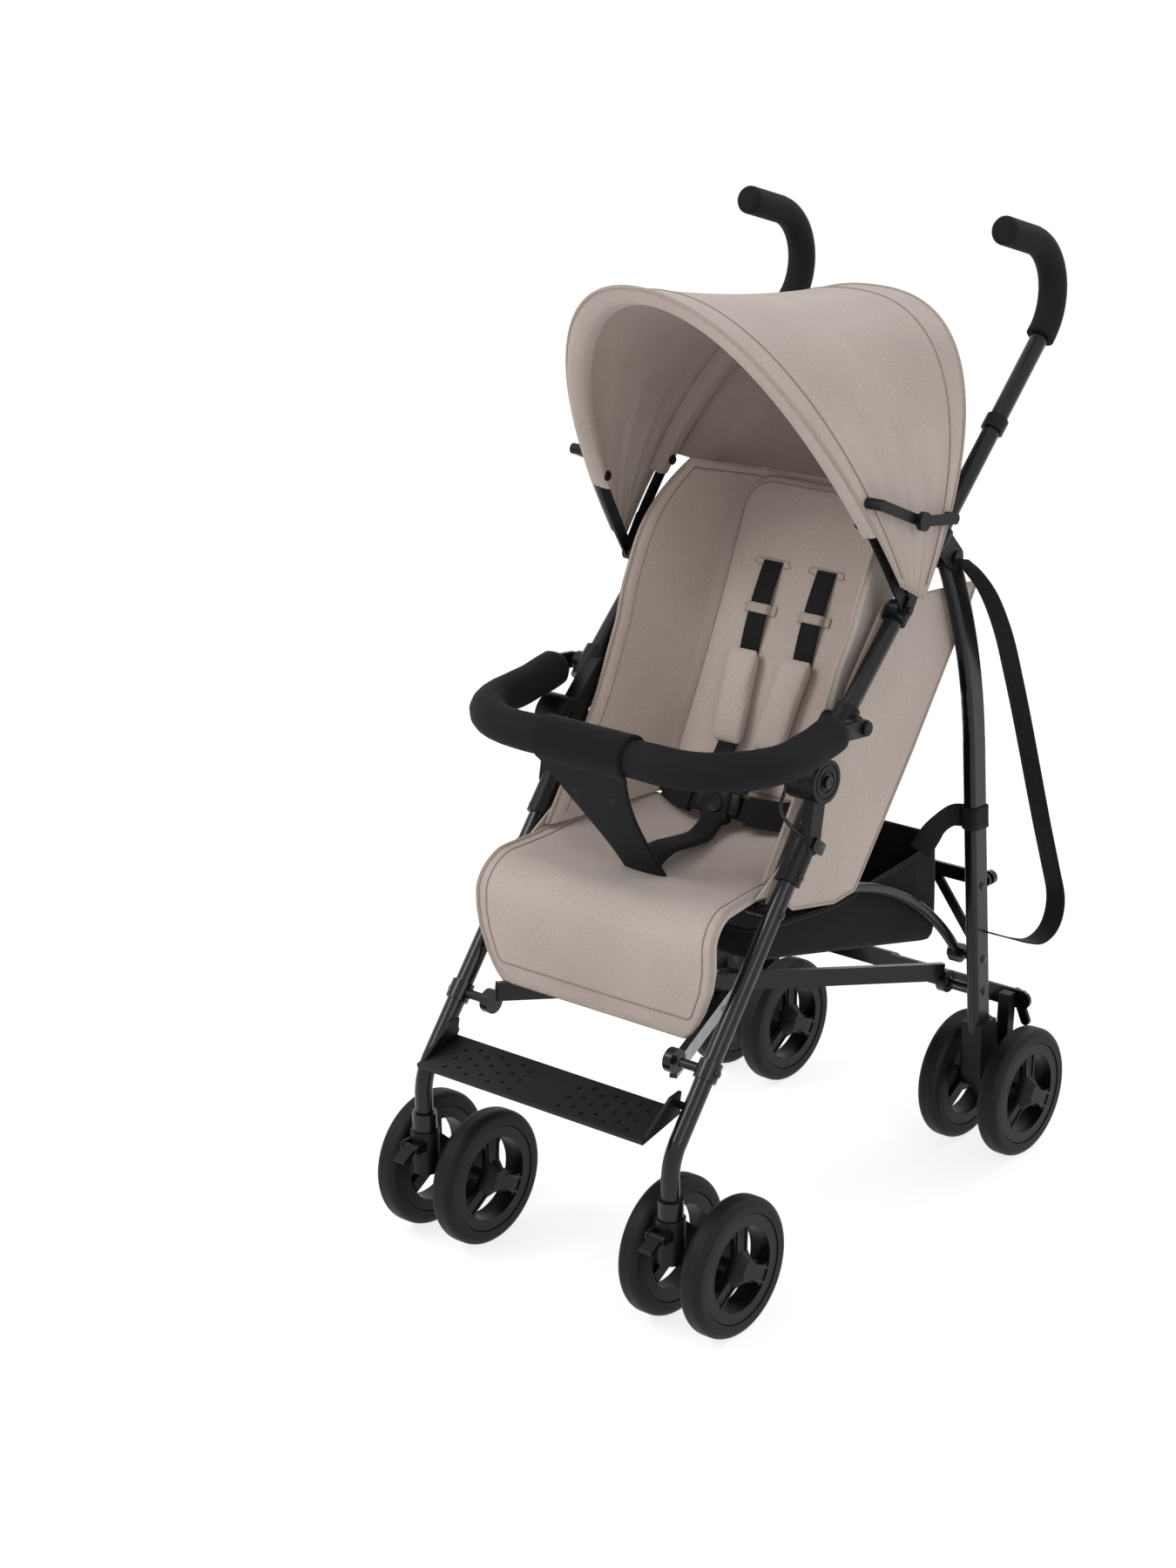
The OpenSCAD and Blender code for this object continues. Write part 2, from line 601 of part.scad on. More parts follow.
module footrest() {
    lip = 5;
    tilt = 12;
    at = on_front(230);
    inner = half - sleeve_r - 2;
    mark_rows = 3;
    mark_cols = 7;
    color(plastic) {
        translate([0, at[0] - 18, at[1] - 2]) rotate([tilt, 0, 0]) {
            translate([-inner, -footrest_d / 2, 0]) cube([2 * inner, footrest_d, lip]);
            for (g = [-1, 1], i = [0:mark_cols - 1], j = [0:mark_rows - 1])
                translate([g * 78 + (i - 3) * 15, (j - 1) * 17 + (i % 2) * 6 - 3, lip - 1])
                    cylinder(h = 2, r = 2.6);
        }
        for (s = [1, -1]) to_side(s) {
            side(inner - 4) linear_extrude(4) polygon([at + [-48, -6], at + [10, 8], at + [14, 28],
                at + [-2, 26]]);
            rod(in3(inner - 2, on_front(244)), in3(half - tube_r - clear, on_front(244)), pin_r);
        }
    }
}
// Bumper bar
bumper_x = half + 18;
bumper_front = bumper_pivot[0] - bumper_reach;
bumper_z = bumper_pivot[1] + 4;
bumper_corner = 70;
bumper_r = bumper_d / 2;
module bumper_bar() {
    arm_end = bumper_pivot[0] - 34;
    color(foam) {
        rod([-bumper_x + bumper_corner, bumper_front, bumper_z], [bumper_x - bumper_corner,
            bumper_front, bumper_z], bumper_r);
        for (s = [1, -1]) to_side(s) {
            translate([bumper_x - bumper_corner, bumper_front + bumper_corner, bumper_z])
                rotate([0, 0, -90]) rotate_extrude(angle = 90) translate([bumper_corner, 0])
                    circle(bumper_r);
            rod([bumper_x, bumper_front + bumper_corner, bumper_z], [bumper_x, arm_end, bumper_z],
                bumper_r);
            difference() {
                side(bumper_x + 7) linear_extrude(6) slot2d([arm_end - 2, bumper_z], bumper_pivot, 18);
                side(bumper_x, bumper_pivot) cylinder(h = 20, r = pin_r + pin_gap);
            }
        }
    }
}
module crotch_panel() {
    wrap = bumper_r + clear;
    top_half = 56;
    low = [-150, seat_z - 19];
    start = [bumper_front, bumper_z - wrap + 0.4];
    rows = 8;
    function at(t, w, off) = [w, start[0] + t * (low[0] - start[0]) + off,
        start[1] + t * (low[1] - start[1]) - 1];
    function width(t) = 26 + (top_half - 26) * pow(1 - t, 2);
    color(webbing) {
        difference() {
            rod([-top_half, bumper_front, bumper_z], [top_half, bumper_front, bumper_z], wrap + 2);
            rod([-top_half - 1, bumper_front, bumper_z], [top_half + 1, bumper_front, bumper_z], wrap);
        }
        sheet([for (i = [0:rows]) [for (j = [-2:2]) at(i / rows, j / 2 * width(i / rows), -2)]],
            [for (i = [0:rows]) [for (j = [-2:2]) at(i / rows, j / 2 * width(i / rows), 2)]]);
    }
}
// Canopy
bow_t = 3;
bow_x = half + 15;
bow_w = 14;
front_lean = 31.5;
rear_lean = -35;
back_lean = -84;
hood_x = bow_x + 2 * bow_t + 2;
// The front arch is round, and the rear one has squarer shoulders
front_dome = 0.95;
rear_dome = 0.85;
back_dome = 0.75;
function arch(a, h, t, d) = [a * sign(cos(t)) * pow(abs(cos(t)), d), h * pow(max(sin(t), 0), d)];
function tilted(p, lean_by) = [p[0], canopy_pivot[0] - p[1] * sin(lean_by),
    canopy_pivot[1] + p[1] * cos(lean_by)];
rear_hood_r = hood_r - 54;
module bow(a, h, lean_by, foot_t, d) {
    steps = 28;
    strip([for (i = [0:steps]) let (t = foot_t + (180 - 2 * foot_t) * i / steps, o = arch(a, h, t, d),
        n = arch(a - bow_t, h - bow_t, t, d),
        side_by = [0, cos(lean_by), sin(lean_by)] * bow_w / 2)
        [tilted(o, lean_by) - side_by, tilted(o, lean_by) + side_by, tilted(n, lean_by) + side_by,
            tilted(n, lean_by) - side_by]]);
}
module bow_feet(x, h, lean_by) {
    for (s = [1, -1]) to_side(s) difference() {
        side(x) linear_extrude(bow_t) difference() {
            slot2d(canopy_pivot, canopy_pivot + 42 * [-sin(lean_by), cos(lean_by)], bow_w, 0.03);
            translate(canopy_pivot) circle(pin_r + pin_gap);
        }
    }
}
module canopy_front_bow() {
    color(plastic) {
        bow(bow_x + bow_t, hood_r - cloth_t - 16, front_lean - 1.5, 4, front_dome);
        bow_feet(bow_x, hood_r, front_lean - 1.5);
    }
}
module canopy_rear_bow() {
    color(plastic) {
        bow(bow_x + 2 * bow_t + 0.1, rear_hood_r - cloth_t - 12, rear_lean + 1.8, 1.6, rear_dome + 0.03);
        bow_feet(bow_x + bow_t + 0.5, rear_hood_r, rear_lean + 1.8);
    }
}
// The hood is stretched straight from arch to arch with a slight dip, and its side folds gather
// towards the pivot
hood_dip = 7;
module canopy_hood() {
    rows = 12;
    cols = 28;
    function edge(u, foot, x, h, d, lean_by, inset) =
        tilted(arch(x - inset, h - inset, foot + (180 - 2 * foot) * u, d), lean_by);
    function cloth(v, u, inset) = let (
        p = edge(u, 5, hood_x + 2, hood_r, front_dome, front_lean, inset),
        q = edge(u, 1.6, hood_x + 9, rear_hood_r, rear_dome, rear_lean, inset),
        gather = 2.5 * sin(1080 * v) * pow(abs(cos(180 * u)), 5) * sign(0.5 - u),
        dip = hood_dip * sin(180 * v) * sqrt(max(sin(180 * u), 0)))
        p + (q - p) * v + [gather, 0, -dip];
    color(taupe) sheet([for (i = [0:rows]) [for (j = [0:cols]) cloth(i / rows, j / cols, 0)]],
        [for (i = [0:rows]) [for (j = [0:cols]) cloth(i / rows, j / cols, cloth_t)]]);
}
// The back cloth narrows to pass inside the handle tubes, and ends behind the backrest
module canopy_back() {
    rows = 8;
    cols = 28;
    x_a = hood_x + 8;
    x_b = half - sleeve_r - 8;
    function cloth(v, u, inset) = let (
        foot = 17 + 7 * v, t = foot + (180 - 2 * foot) * u,
        d = rear_dome + (back_dome - rear_dome) * min(v / 0.35, 1),
        h = rear_hood_r + (190 - rear_hood_r) * v - 4 * sin(180 * v) - inset)
        tilted(arch(x_a + (x_b - x_a) * min(v / 0.25, 1) - inset, h, t, d),
            rear_lean - 0.3 + (back_lean - rear_lean) * v);
    color(taupe) sheet([for (i = [0:rows]) [for (j = [0:cols]) cloth(i / rows, j / cols, 0)]],
        [for (i = [0:rows]) [for (j = [0:cols]) cloth(i / rows, j / cols, cloth_t)]]);
}
// Where the side of an arch stands at a distance from the pivot
function arch_side(a, h, reach, d) = a * pow(1 - pow(reach / h, 2 / d), d / 2);
stay_x = hood_x + 9;
stay_front_r = 145;
stay_rear_r = 105;
stay_front = canopy_pivot + stay_front_r * [-sin(front_lean - 3), cos(front_lean - 3)];
stay_rear = canopy_pivot + stay_rear_r * [-sin(rear_lean + 3), cos(rear_lean + 3)];
stay_knee = (stay_front + stay_rear) / 2 + [4, -10];
module canopy_stays_front() {
    color(plastic) for (s = [1, -1]) to_side(s) {
        side(stay_x) linear_extrude(4) slot2d(stay_front, stay_knee, 11, 0.03);
        seat = arch_side(hood_x + 2, hood_r - 4, stay_front_r, front_dome) + 2.7;
        side(seat, stay_front) cylinder(h = stay_x + 4 - seat, r = 6);
    }
}
module canopy_stays_rear() {
    color(plastic) for (s = [1, -1]) to_side(s) {
        side(stay_x + 4.3) linear_extrude(4) slot2d(stay_rear, stay_knee, 11, 0.03);
        seat = arch_side(hood_x + 9, rear_hood_r, stay_rear_r, rear_dome) + 0.5;
        side(seat, stay_rear) cylinder(h = stay_x + 8.3 - seat, r = 6);
        side(stay_x + 4.3, stay_knee) cylinder(h = 6, r = 10);
    }
}
// Seat
seat_half = seat_w / 2;
function back_at(t) = [seat_back_y, seat_z] + t * back_l * back_dir;
function wing(u, t) = let (e = max(abs(u) * seat_half - pad_half, 0) / (seat_half - pad_half))
    e * e * (3 - 2 * e) * (110 + 42 * pow(max(1 - t / 0.3, 0), 1.3) - 34 * pow(max(t - 0.7, 0) / 0.3, 2));
function rib(u) = max(0, 1 - pow(u * seat_half / pad_half, 2));
module seat_back() {
    rows = 14;
    cols = 20;
    // The wings pass inside the hinges, and their lower edges lie along the seat
    function squeeze(t) = 1 - 0.12 * pow(max(t - 0.75, 0) / 0.25, 2)
        - 0.03 * min(1, max(0, (0.6 - t) / 0.1));
    function lift(t) = 0.25 * min(1, t / 0.3) - 0.035 * max(0, 1 - t / 0.3);
    function skin(t, u, depth) = let (p = back_at(t))
        [u * seat_half * squeeze(t), p[0] - wing(u, t) + depth - 3 * rib(u) * sin(180 * t),
            p[1] + 1 - t + lift(t) * wing(u, t)];
    color(taupe) sheet([for (i = [0:rows]) [for (j = [0:cols]) skin(i / rows, 1 - 2 * j / cols, 0)]],
        [for (i = [0:rows]) [for (j = [0:cols]) skin(i / rows, 1 - 2 * j / cols, pad_t)]]);
}
apron_turn = 0.58;
// Path of the seat's top from its rear edge over the front edge and down the apron
function seat_path(t) = t < apron_turn
    ? [seat_back_y - 3 + (seat_front_y - seat_back_y + 3) * t / apron_turn,
        seat_z - 2 - seat_fall * t / apron_turn]
    : let (e = (t - apron_turn) / (1 - apron_turn))
        [seat_front_y - apron_out * sin(90 * min(1, e * 2.2)),
            seat_z - 2 - seat_fall - apron_drop * pow(e, 1.5)];
module seat_base() {
    rows = 18;
    cols = 14;
    corner = 0.1;
    function narrow(t) = t < 1 - corner ? 1 : sqrt(max(0, 1 - pow((t - 1 + corner) / corner, 2) * 0.5));
    function skin(t, u, depth) = let (p = seat_path(t), q = seat_path(min(t + 0.01, 1)),
        r = seat_path(t - 0.01),
        d = unit(q - r), dip = 13 * (1 - u * u) * sin(180 * min(1, t / apron_turn * 0.9)))
        [u * (seat_half - 3) * narrow(t), p[0] + depth * -d[1], p[1] - dip + depth * d[0]];
    color(taupe) sheet([for (i = [0:rows]) [for (j = [0:cols]) skin(i / rows, 2 * j / cols - 1, 0)]],
        [for (i = [0:rows]) [for (j = [0:cols]) skin(i / rows, 2 * j / cols - 1, pad_t - 1.3)]]);
    // Side panels, from the wings' front edges to behind the backrest
    panel = [[60, 690], [-5, 612], [-18, 575], [-48, 520], [-80, 490], [-118, 450], [-158, 427],
        [-125, 421], [-97, 398], [-25, 383], [12, 386], [115, 515], [216, 650], [232, 676]];
    color(taupe) for (s = [1, -1]) to_side(s) side(seat_half + 4 * clear) linear_extrude(3) polygon(panel);
}
// A crowned pad lying on the backrest, w wide, from a to b along it
module shoulder_pad(x, a, b, w, t) {
    n = 8;
    function lie(s, e, up) = let (p = back_at(s), out = 3 * clear + 3 * rib((x + e * w / 2)
        / seat_half) * sin(180 * s))
        [x + e * w / 2, p[0] - out - up * back_dir[1], p[1] + up * back_dir[0]];
    function crown(i, j) = pow(max(0, (1 - pow(i, 4)) * (1 - pow(j, 4))), 0.5);
    function pull(i) = 1 - 0.06 * (1 - i * i);
    sheet([for (i = [0:n]) let (p = 2 * i / n - 1) [for (j = [0:n]) let (q = 1 - 2 * j / n)
            lie((a + b) / 2 + p * (b - a) / 2, q * pull(p), 3 + t * crown(p, q))]],
        [for (i = [0:n]) let (p = 2 * i / n - 1) [for (j = [0:n]) let (q = 1 - 2 * j / n)
            lie((a + b) / 2 + p * (b - a) / 2, q * pull(p), 0)]]);
}
harness_x = 36;
module harness() {
    color(webbing) for (s = [1, -1]) {
        shoulder_pad(s * harness_x, 0.18, 0.46, 44, 14);
        shoulder_pad(s * harness_x, 0.461, 0.72, 25, 2);
    }
    color(webbing) for (s = [1, -1]) to_side(s)
        rod([19.3, -18, seat_z + 22], [seat_half - 53, seat_back_y + 0.2, seat_z + 14], 5);
}
buckle_at = [-24, seat_z + 20];
module buckle() {
    color(plastic) difference() {
        translate(in3(0, buckle_at)) rotate([70, 0, 0]) linear_extrude(14, center = true)
            rounded_rect(36, 44, 8);
        translate(in3(0, buckle_at)) rotate([70, 0, 0]) cylinder(h = 12, r = 11 + clear);
    }
    route = [[-142, -18], [-118, -18.2], [-94, -17], [-70, -13.5], [-50, -6], [-36, 1]];
    color(webbing) strip([for (i = [0:len(route) - 1]) let (w = 19 - i, y = route[i][0],
        z = seat_z + route[i][1])
        [[-w, y, z + 2], [w, y, z + 2], [w, y, z - 2], [-w, y, z - 2]]]);
}
module buckle_button() {
    color("#2c2d30") translate(in3(0, buckle_at)) rotate([70, 0, 0]) translate([0, 0, 3.2])
        cylinder(h = 6, r = 11);
}
// Basket
module basket() {
    wall = 3;
    inner = rail_x - rail_d / 2 - swell - clear;
    // The rear wall keeps its distance from the rear legs
    rear_low = on_rear(258) - [26.5, 0];
    rear_top = on_rear(384) - [8.6, 0];
    outline = [[-140, 345], rear_low, rear_top, [150, 376], [0, 364], [-136, 380]];
    hollow = [[-136, 348.6], rear_low + [-3.5, 4.6], rear_top + [-3.6, 6], [150, 390], [0, 390],
        [-133, 390]];
    color("#161617") difference() {
        side(-inner) linear_extrude(2 * inner) polygon(outline);
        side(-inner + wall) linear_extrude(2 * (inner - wall)) polygon(hollow);
    }
}
// Carry strap: hangs from the rear leg's pivot bolt, and turns back at its slider to the leg
strap_route = [[184.2, 154, 722], [189, 172, 706], [196, 194, 676], [197, 222, 628], [192, 252,
    572], [188, 280, 512],
    [186, 306, 446], [186, 330, 378], [187, 351, 318], [188, 362, 282], [189, 358, 258], [190, 342, 243],
    [189, 318, 238], [186, 292, 246], [180, 268, 257], [177, 236, 272]];
module carry_strap() {
    n = len(strap_route);
    function way(i) = unit(strap_route[min(i + 1, n - 1)] - strap_route[max(i - 1, 0)]);
    function flat(i) = let (a = 70 * sin(180 * i / (n - 1))) unit(cross(way(i), [cos(a), sin(a), 0]));
    color(webbing) strip([for (i = [0:n - 1]) let (p = strap_route[i], f = flat(i) * strap_w / 2,
        g = unit(cross(way(i), flat(i))) * 0.9) [p - f - g, p + f - g, p + f + g, p - f + g]]);
}

rear_leg(1);  // rear_leg_left
rear_leg(-1);  // rear_leg_right
rear_hub(1);  // rear_hub_left
rear_hub(-1);  // rear_hub_right
axle(1, rear_y);  // rear_axle_left
axle(-1, rear_y);  // rear_axle_right
rim_pair(1, rear_y);  // rear_rims_left
rim_pair(-1, rear_y);  // rear_rims_right
tyre_pair(1, rear_y);  // rear_tyres_left
tyre_pair(-1, rear_y);  // rear_tyres_right
handle_tube(1);  // handle_tube_left
handle_tube(-1);  // handle_tube_right
grip(1);  // grip_left
grip(-1);  // grip_right
handle_brackets(1);  // handle_brackets_left
handle_brackets(-1);  // handle_brackets_right
upper_hinge(1);  // upper_hinge_left
upper_hinge(-1);  // upper_hinge_right
front_leg(1);  // front_leg_left
front_leg(-1);  // front_leg_right
lower_hinge(1);  // lower_hinge_left
lower_hinge(-1);  // lower_hinge_right
caster_fork(1);  // caster_fork_left
caster_fork(-1);  // caster_fork_right
axle(1, front_y);  // front_axle_left
axle(-1, front_y);  // front_axle_right
rim_pair(1, front_y);  // front_rims_left
rim_pair(-1, front_y);  // front_rims_right
tyre_pair(1, front_y);  // front_tyres_left
tyre_pair(-1, front_y);  // front_tyres_right
swivel_lock(1);  // swivel_lock_left
swivel_lock(-1);  // swivel_lock_right
seat_rail(1);  // seat_rail_left
seat_rail(-1);  // seat_rail_right
cross_bar(1);  // cross_bar_left
cross_bar(-1);  // cross_bar_right
brace_link(1);  // brace_link_left
brace_link(-1);  // brace_link_right
fold_lock_pedal();
brake_lever(1);  // brake_lever_left
brake_lever(-1);  // brake_lever_right
brake_bar(1);  // brake_bar_left
brake_bar(-1);  // brake_bar_right
footrest();
bumper_bar();
crotch_panel();
canopy_front_bow();
canopy_rear_bow();
canopy_hood();
canopy_back();
canopy_stays_front();
canopy_stays_rear();
seat_back();
seat_base();
harness();
buckle();
buckle_button();
basket();
carry_strap();
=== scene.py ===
"""Umbrella stroller with hook handles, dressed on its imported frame.

Lengths are in metres in the frame's own axes: X across (+X is the child's left), -Y is the front, Z is up,
and the floor is at Z = 0. The rigid pieces are the frame's own nodes with better finishes. The soft pieces and
the plastic pieces that close up with the fold are made here and stand for their nodes.
"""

from __future__ import annotations

import json
import logging
import math
from collections.abc import Callable, Iterable, Sequence
from dataclasses import dataclass
from enum import Enum
from functools import partial

import bmesh
import bpy
import numpy as np
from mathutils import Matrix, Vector

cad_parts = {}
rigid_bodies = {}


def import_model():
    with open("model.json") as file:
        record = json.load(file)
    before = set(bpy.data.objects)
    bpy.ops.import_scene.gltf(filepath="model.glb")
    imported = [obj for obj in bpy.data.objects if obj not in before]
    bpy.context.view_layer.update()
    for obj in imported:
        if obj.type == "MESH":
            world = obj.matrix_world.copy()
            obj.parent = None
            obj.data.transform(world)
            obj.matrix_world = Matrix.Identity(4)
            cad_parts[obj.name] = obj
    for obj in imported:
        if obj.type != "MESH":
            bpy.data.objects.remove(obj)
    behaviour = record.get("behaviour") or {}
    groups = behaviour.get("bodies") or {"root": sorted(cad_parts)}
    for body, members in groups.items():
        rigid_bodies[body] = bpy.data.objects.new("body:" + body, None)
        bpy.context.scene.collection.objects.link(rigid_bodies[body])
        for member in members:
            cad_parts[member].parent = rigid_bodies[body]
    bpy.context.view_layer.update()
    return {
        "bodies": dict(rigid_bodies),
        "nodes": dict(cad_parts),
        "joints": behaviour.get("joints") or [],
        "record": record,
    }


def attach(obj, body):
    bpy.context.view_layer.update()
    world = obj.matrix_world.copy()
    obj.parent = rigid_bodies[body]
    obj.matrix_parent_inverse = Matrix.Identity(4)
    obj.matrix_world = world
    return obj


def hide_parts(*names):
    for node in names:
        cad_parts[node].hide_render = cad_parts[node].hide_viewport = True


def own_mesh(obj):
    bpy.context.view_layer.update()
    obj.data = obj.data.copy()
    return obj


LOG = logging.getLogger("stroller")

# Distance of each side frame's plane from the middle, and how far the fold brings the left one to the right.
HALF = 0.168

# Sign of X and name of each side.
SIDES = ((1, "left"), (-1, "right"))
# Radius at the axis of a turned piece, where it can't be nothing.
TIP = 0.0001
# Width of the straps, and thickness of the canopy's cloth and of the other unpadded cloths.
WEBBING_WIDTH = 0.025
CANOPY_CLOTH = 0.0022
HEAVY_CLOTH = 0.0024
# Points round the beads that stand for piping and bound edges.
BEAD = 8

Piece = bpy.types.Object
Tree = bpy.types.NodeTree
Node = bpy.types.Node
Socket = bpy.types.NodeSocket
Pair = tuple[float, float]
Triple = tuple[float, float, float]
Point = Sequence[float]
Surface = Callable[[float, float], Point]


class Slot(Enum):
    """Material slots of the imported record."""

    FRAME = "frame_paint"
    PLASTIC = "black_plastic"
    FOAM = "foam"
    STEEL = "steel"
    TYRE = "tyre"
    SEAT = "seat_fabric"
    BLACK = "black_fabric"
    WEBBING = "webbing"


# ---------------------------------------------------------------- finishes


def linear(code: str) -> tuple[float, float, float, float]:
    """Turns an sRGB hex value into linear light.

    Args:
        code: Colour such as "#b0a396".

    Returns:
        Linear red, green, blue and an alpha of 1.
    """
    channels = [int(code[i : i + 2], 16) / 255 for i in (1, 3, 5)]
    r, g, b = (c / 12.92 if c <= 0.04045 else ((c + 0.055) / 1.055) ** 2.4 for c in channels)
    return r, g, b, 1.0


def add(
    tree: Tree,
    kind: str,
    settings: dict[str, object] | None = None,
    links: dict[str | int, Socket] | None = None,
) -> Node:
    """Adds a node with its settings and links.

    Args:
        tree: Node tree that takes the node.
        kind: Node type.
        settings: Values of the node's own properties or of its inputs, by name.
        links: Sockets that feed its inputs, by input name or number.

    Returns:
        The new node.
    """
    node = tree.nodes.new(kind)
    for name, value in (settings or {}).items():
        if hasattr(node, name):
            setattr(node, name, value)
        else:
            node.inputs[name].default_value = value
    for name, socket in (links or {}).items():
        tree.links.new(socket, node.inputs[name])
    return node


@dataclass(frozen=True)
class Finish:
    """A surface: what it is made of and how it was made.

    Attributes:
        name: Material's name.
        colour: Its colour as an sRGB hex value.
        second: The colour its pattern varies to.
        roughness: Mean roughness.
        slot: The record's slot that it belongs to; not used.
    """

    name: str
    colour: str
    second: str
    roughness: float
    slot: Slot

    def material(self) -> bpy.types.Material:
        """Returns the material, made on first use."""
        found = bpy.data.materials.get(self.name)
        if found:
            return found
        made = bpy.data.materials.new(self.name)
        made.use_nodes = True
        made.diffuse_color = linear(self.colour)
        tree = made.node_tree
        tree.nodes.clear()
        shader = add(tree, "ShaderNodeBsdfPrincipled", {"Roughness": self.roughness})
        add(tree, "ShaderNodeOutputMaterial", links={"Surface": shader.outputs[0]})
        self.dress(tree, shader)
        return made

    def dress(self, tree: Tree, shader: Node) -> None:
        """Adds the surface's own nodes.

        Args:
            tree: The material's node tree.
            shader: Its shader.
        """
        raise NotImplementedError

    def vary(self, tree: Tree, shader: Node, amount: Socket, spread: float) -> None:
        """Lets a pattern vary the colour between its two values, and the roughness about its mean.

        Args:
            tree: The material's node tree.
            shader: Its shader.
            amount: Pattern from 0 to 1.
            spread: How far the roughness goes to each side.
        """
        mix = add(tree, "ShaderNodeMix", {"data_type": "RGBA"}, {0: amount})
        mix.inputs[6].default_value = linear(self.colour)
        mix.inputs[7].default_value = linear(self.second)
        tree.links.new(mix.outputs[2], shader.inputs["Base Color"])
        rough = add(
            tree,
            "ShaderNodeMapRange",
            {"To Min": self.roughness - spread, "To Max": self.roughness + spread},
            {"Value": amount},
        )
        tree.links.new(rough.outputs[0], shader.inputs["Roughness"])

    def emboss(self, tree: Tree, shader: Node, height: Socket, depth: float, strength: float) -> None:
        """Raises a pattern on the surface.

        Args:
            tree: The material's node tree.
            shader: Its shader.
            height: Pattern from 0 to 1.
            depth: Height of the pattern in metres.
            strength: How much of it shows.
        """
        bump = add(tree, "ShaderNodeBump", {"Strength": strength, "Distance": depth}, {"Height": height})
        tree.links.new(bump.outputs[0], shader.inputs["Normal"])


@dataclass(frozen=True)
class Coating(Finish):
    """Paint, moulding or rubber with a fine grain, and a slow drift that breaks up its highlights.

    Attributes:
        grain: Size of the grain, in metres.
        depth: Height of the grain, in metres.
        strength: How much of the grain shows.
        coat: Weight of a clear skin over it.
        metallic: 1 for bare metal.
    """

    grain: float
    depth: float
    strength: float
    coat: float = 0.0
    metallic: float = 0.0

    def dress(self, tree: Tree, shader: Node) -> None:
        """Adds grain and drift; the arguments are those of Finish.dress."""
        shader.inputs["Metallic"].default_value = self.metallic
        shader.inputs["Coat Weight"].default_value = self.coat
        shader.inputs["Coat Roughness"].default_value = 0.12
        shader.inputs["Specular IOR Level"].default_value = 0.5 if self.metallic else 0.2
        place = add(tree, "ShaderNodeTexCoord").outputs["Object"]
        grain = add(tree, "ShaderNodeTexNoise", {"Scale": 1 / self.grain, "Detail": 3.0}, {"Vector": place})
        drift = add(tree, "ShaderNodeTexNoise", {"Scale": 28.0, "Detail": 2.0}, {"Vector": place})
        self.vary(tree, shader, drift.outputs[0], 0.07)
        self.emboss(tree, shader, grain.outputs[0], self.depth, self.strength)


@dataclass(frozen=True)
class Cloth(Finish):
    """Woven cloth. It reads the lay of its threads, in metres, from the mesh's own "weave" values.

    Attributes:
        thread: Spacing of its threads, in metres.
        depth: Height of a thread, in metres.
        fleck: Size of the flecks of its mixed yarn, in metres.
        sheen: Weight of the soft light that loose fibres give at the edges.
        rib: How much stronger the cross threads are than the lengthwise ones.
    """

    thread: float
    depth: float
    fleck: float
    sheen: float
    rib: float = 1.0

    def dress(self, tree: Tree, shader: Node) -> None:
        """Adds weave, flecks and sheen; the arguments are those of Finish.dress."""
        shader.inputs["Sheen Weight"].default_value = self.sheen
        shader.inputs["Sheen Roughness"].default_value = 0.45
        shader.inputs["Specular IOR Level"].default_value = 0.15
        lay = add(tree, "ShaderNodeAttribute", {"attribute_name": "weave"}).outputs["Vector"]
        # A wave texture repeats every 2 pi / 20 of its scaled length.
        scale = {"Scale": 0.314159 / self.thread, "Distortion": 0.6, "Detail": 1.0, "Detail Scale": 0.4}
        warp = add(tree, "ShaderNodeTexWave", {"bands_direction": "X", **scale}, {"Vector": lay})
        weft = add(tree, "ShaderNodeTexWave", {"bands_direction": "Y", **scale}, {"Vector": lay})
        warp_part = add(tree, "ShaderNodeMath", {"operation": "MULTIPLY"}, {0: warp.outputs[1]})
        warp_part.inputs[1].default_value = 1 / (1 + self.rib)
        weave = add(
            tree, "ShaderNodeMath", {"operation": "MULTIPLY_ADD"}, {0: weft.outputs[1], 2: warp_part.outputs[0]}
        )
        weave.inputs[1].default_value = self.rib / (1 + self.rib)
        fine = {"Scale": 1 / self.fleck, "Detail": 4.0, "Roughness": 0.7}
        fleck = add(tree, "ShaderNodeTexNoise", fine, {"Vector": lay})
        wear = add(tree, "ShaderNodeTexNoise", {"Scale": 9.0, "Detail": 2.0}, {"Vector": lay})
        both = add(
            tree, "ShaderNodeMath", {"operation": "MULTIPLY_ADD"}, {0: fleck.outputs[0], 2: wear.outputs[0]}
        )
        both.inputs[1].default_value = 1.6
        amount = add(
            tree,
            "ShaderNodeMapRange",
            {"From Min": 0.85, "From Max": 1.75, "clamp": True},
            {"Value": both.outputs[0]},
        )
        self.vary(tree, shader, amount.outputs[0], 0.05)
        self.emboss(tree, shader, weave.outputs[0], self.depth, 0.55)


# Powder-coated aluminium: sprayed and baked, a smooth satin black with a faint orange peel and long highlights.
POWDER_COAT = Coating("powder_coated_aluminium", "#09090b", "#0f0f12", 0.28, Slot.FRAME, 0.0022, 0.00006, 0.35, 0.3)
# Moulded polypropylene: black with a fine spark-eroded grain, so its highlights are wide and soft.
MOULDED = Coating("moulded_polypropylene", "#0a0a0c", "#111114", 0.42, Slot.PLASTIC, 0.0011, 0.00008, 0.5)
# Zinc-plated steel: turned pins and rivet heads, bright grey with a faint haze.
ZINC = Coating("zinc_plated_steel", "#8f9094", "#a3a5a8", 0.32, Slot.STEEL, 0.0016, 0.00003, 0.3, 0.0, 1.0)
# Foamed EVA: moulded tyres, dull and slightly rubbery, with a close skin.
EVA = Coating("moulded_eva", "#0d0d0f", "#141416", 0.55, Slot.TYRE, 0.0018, 0.0001, 0.6)
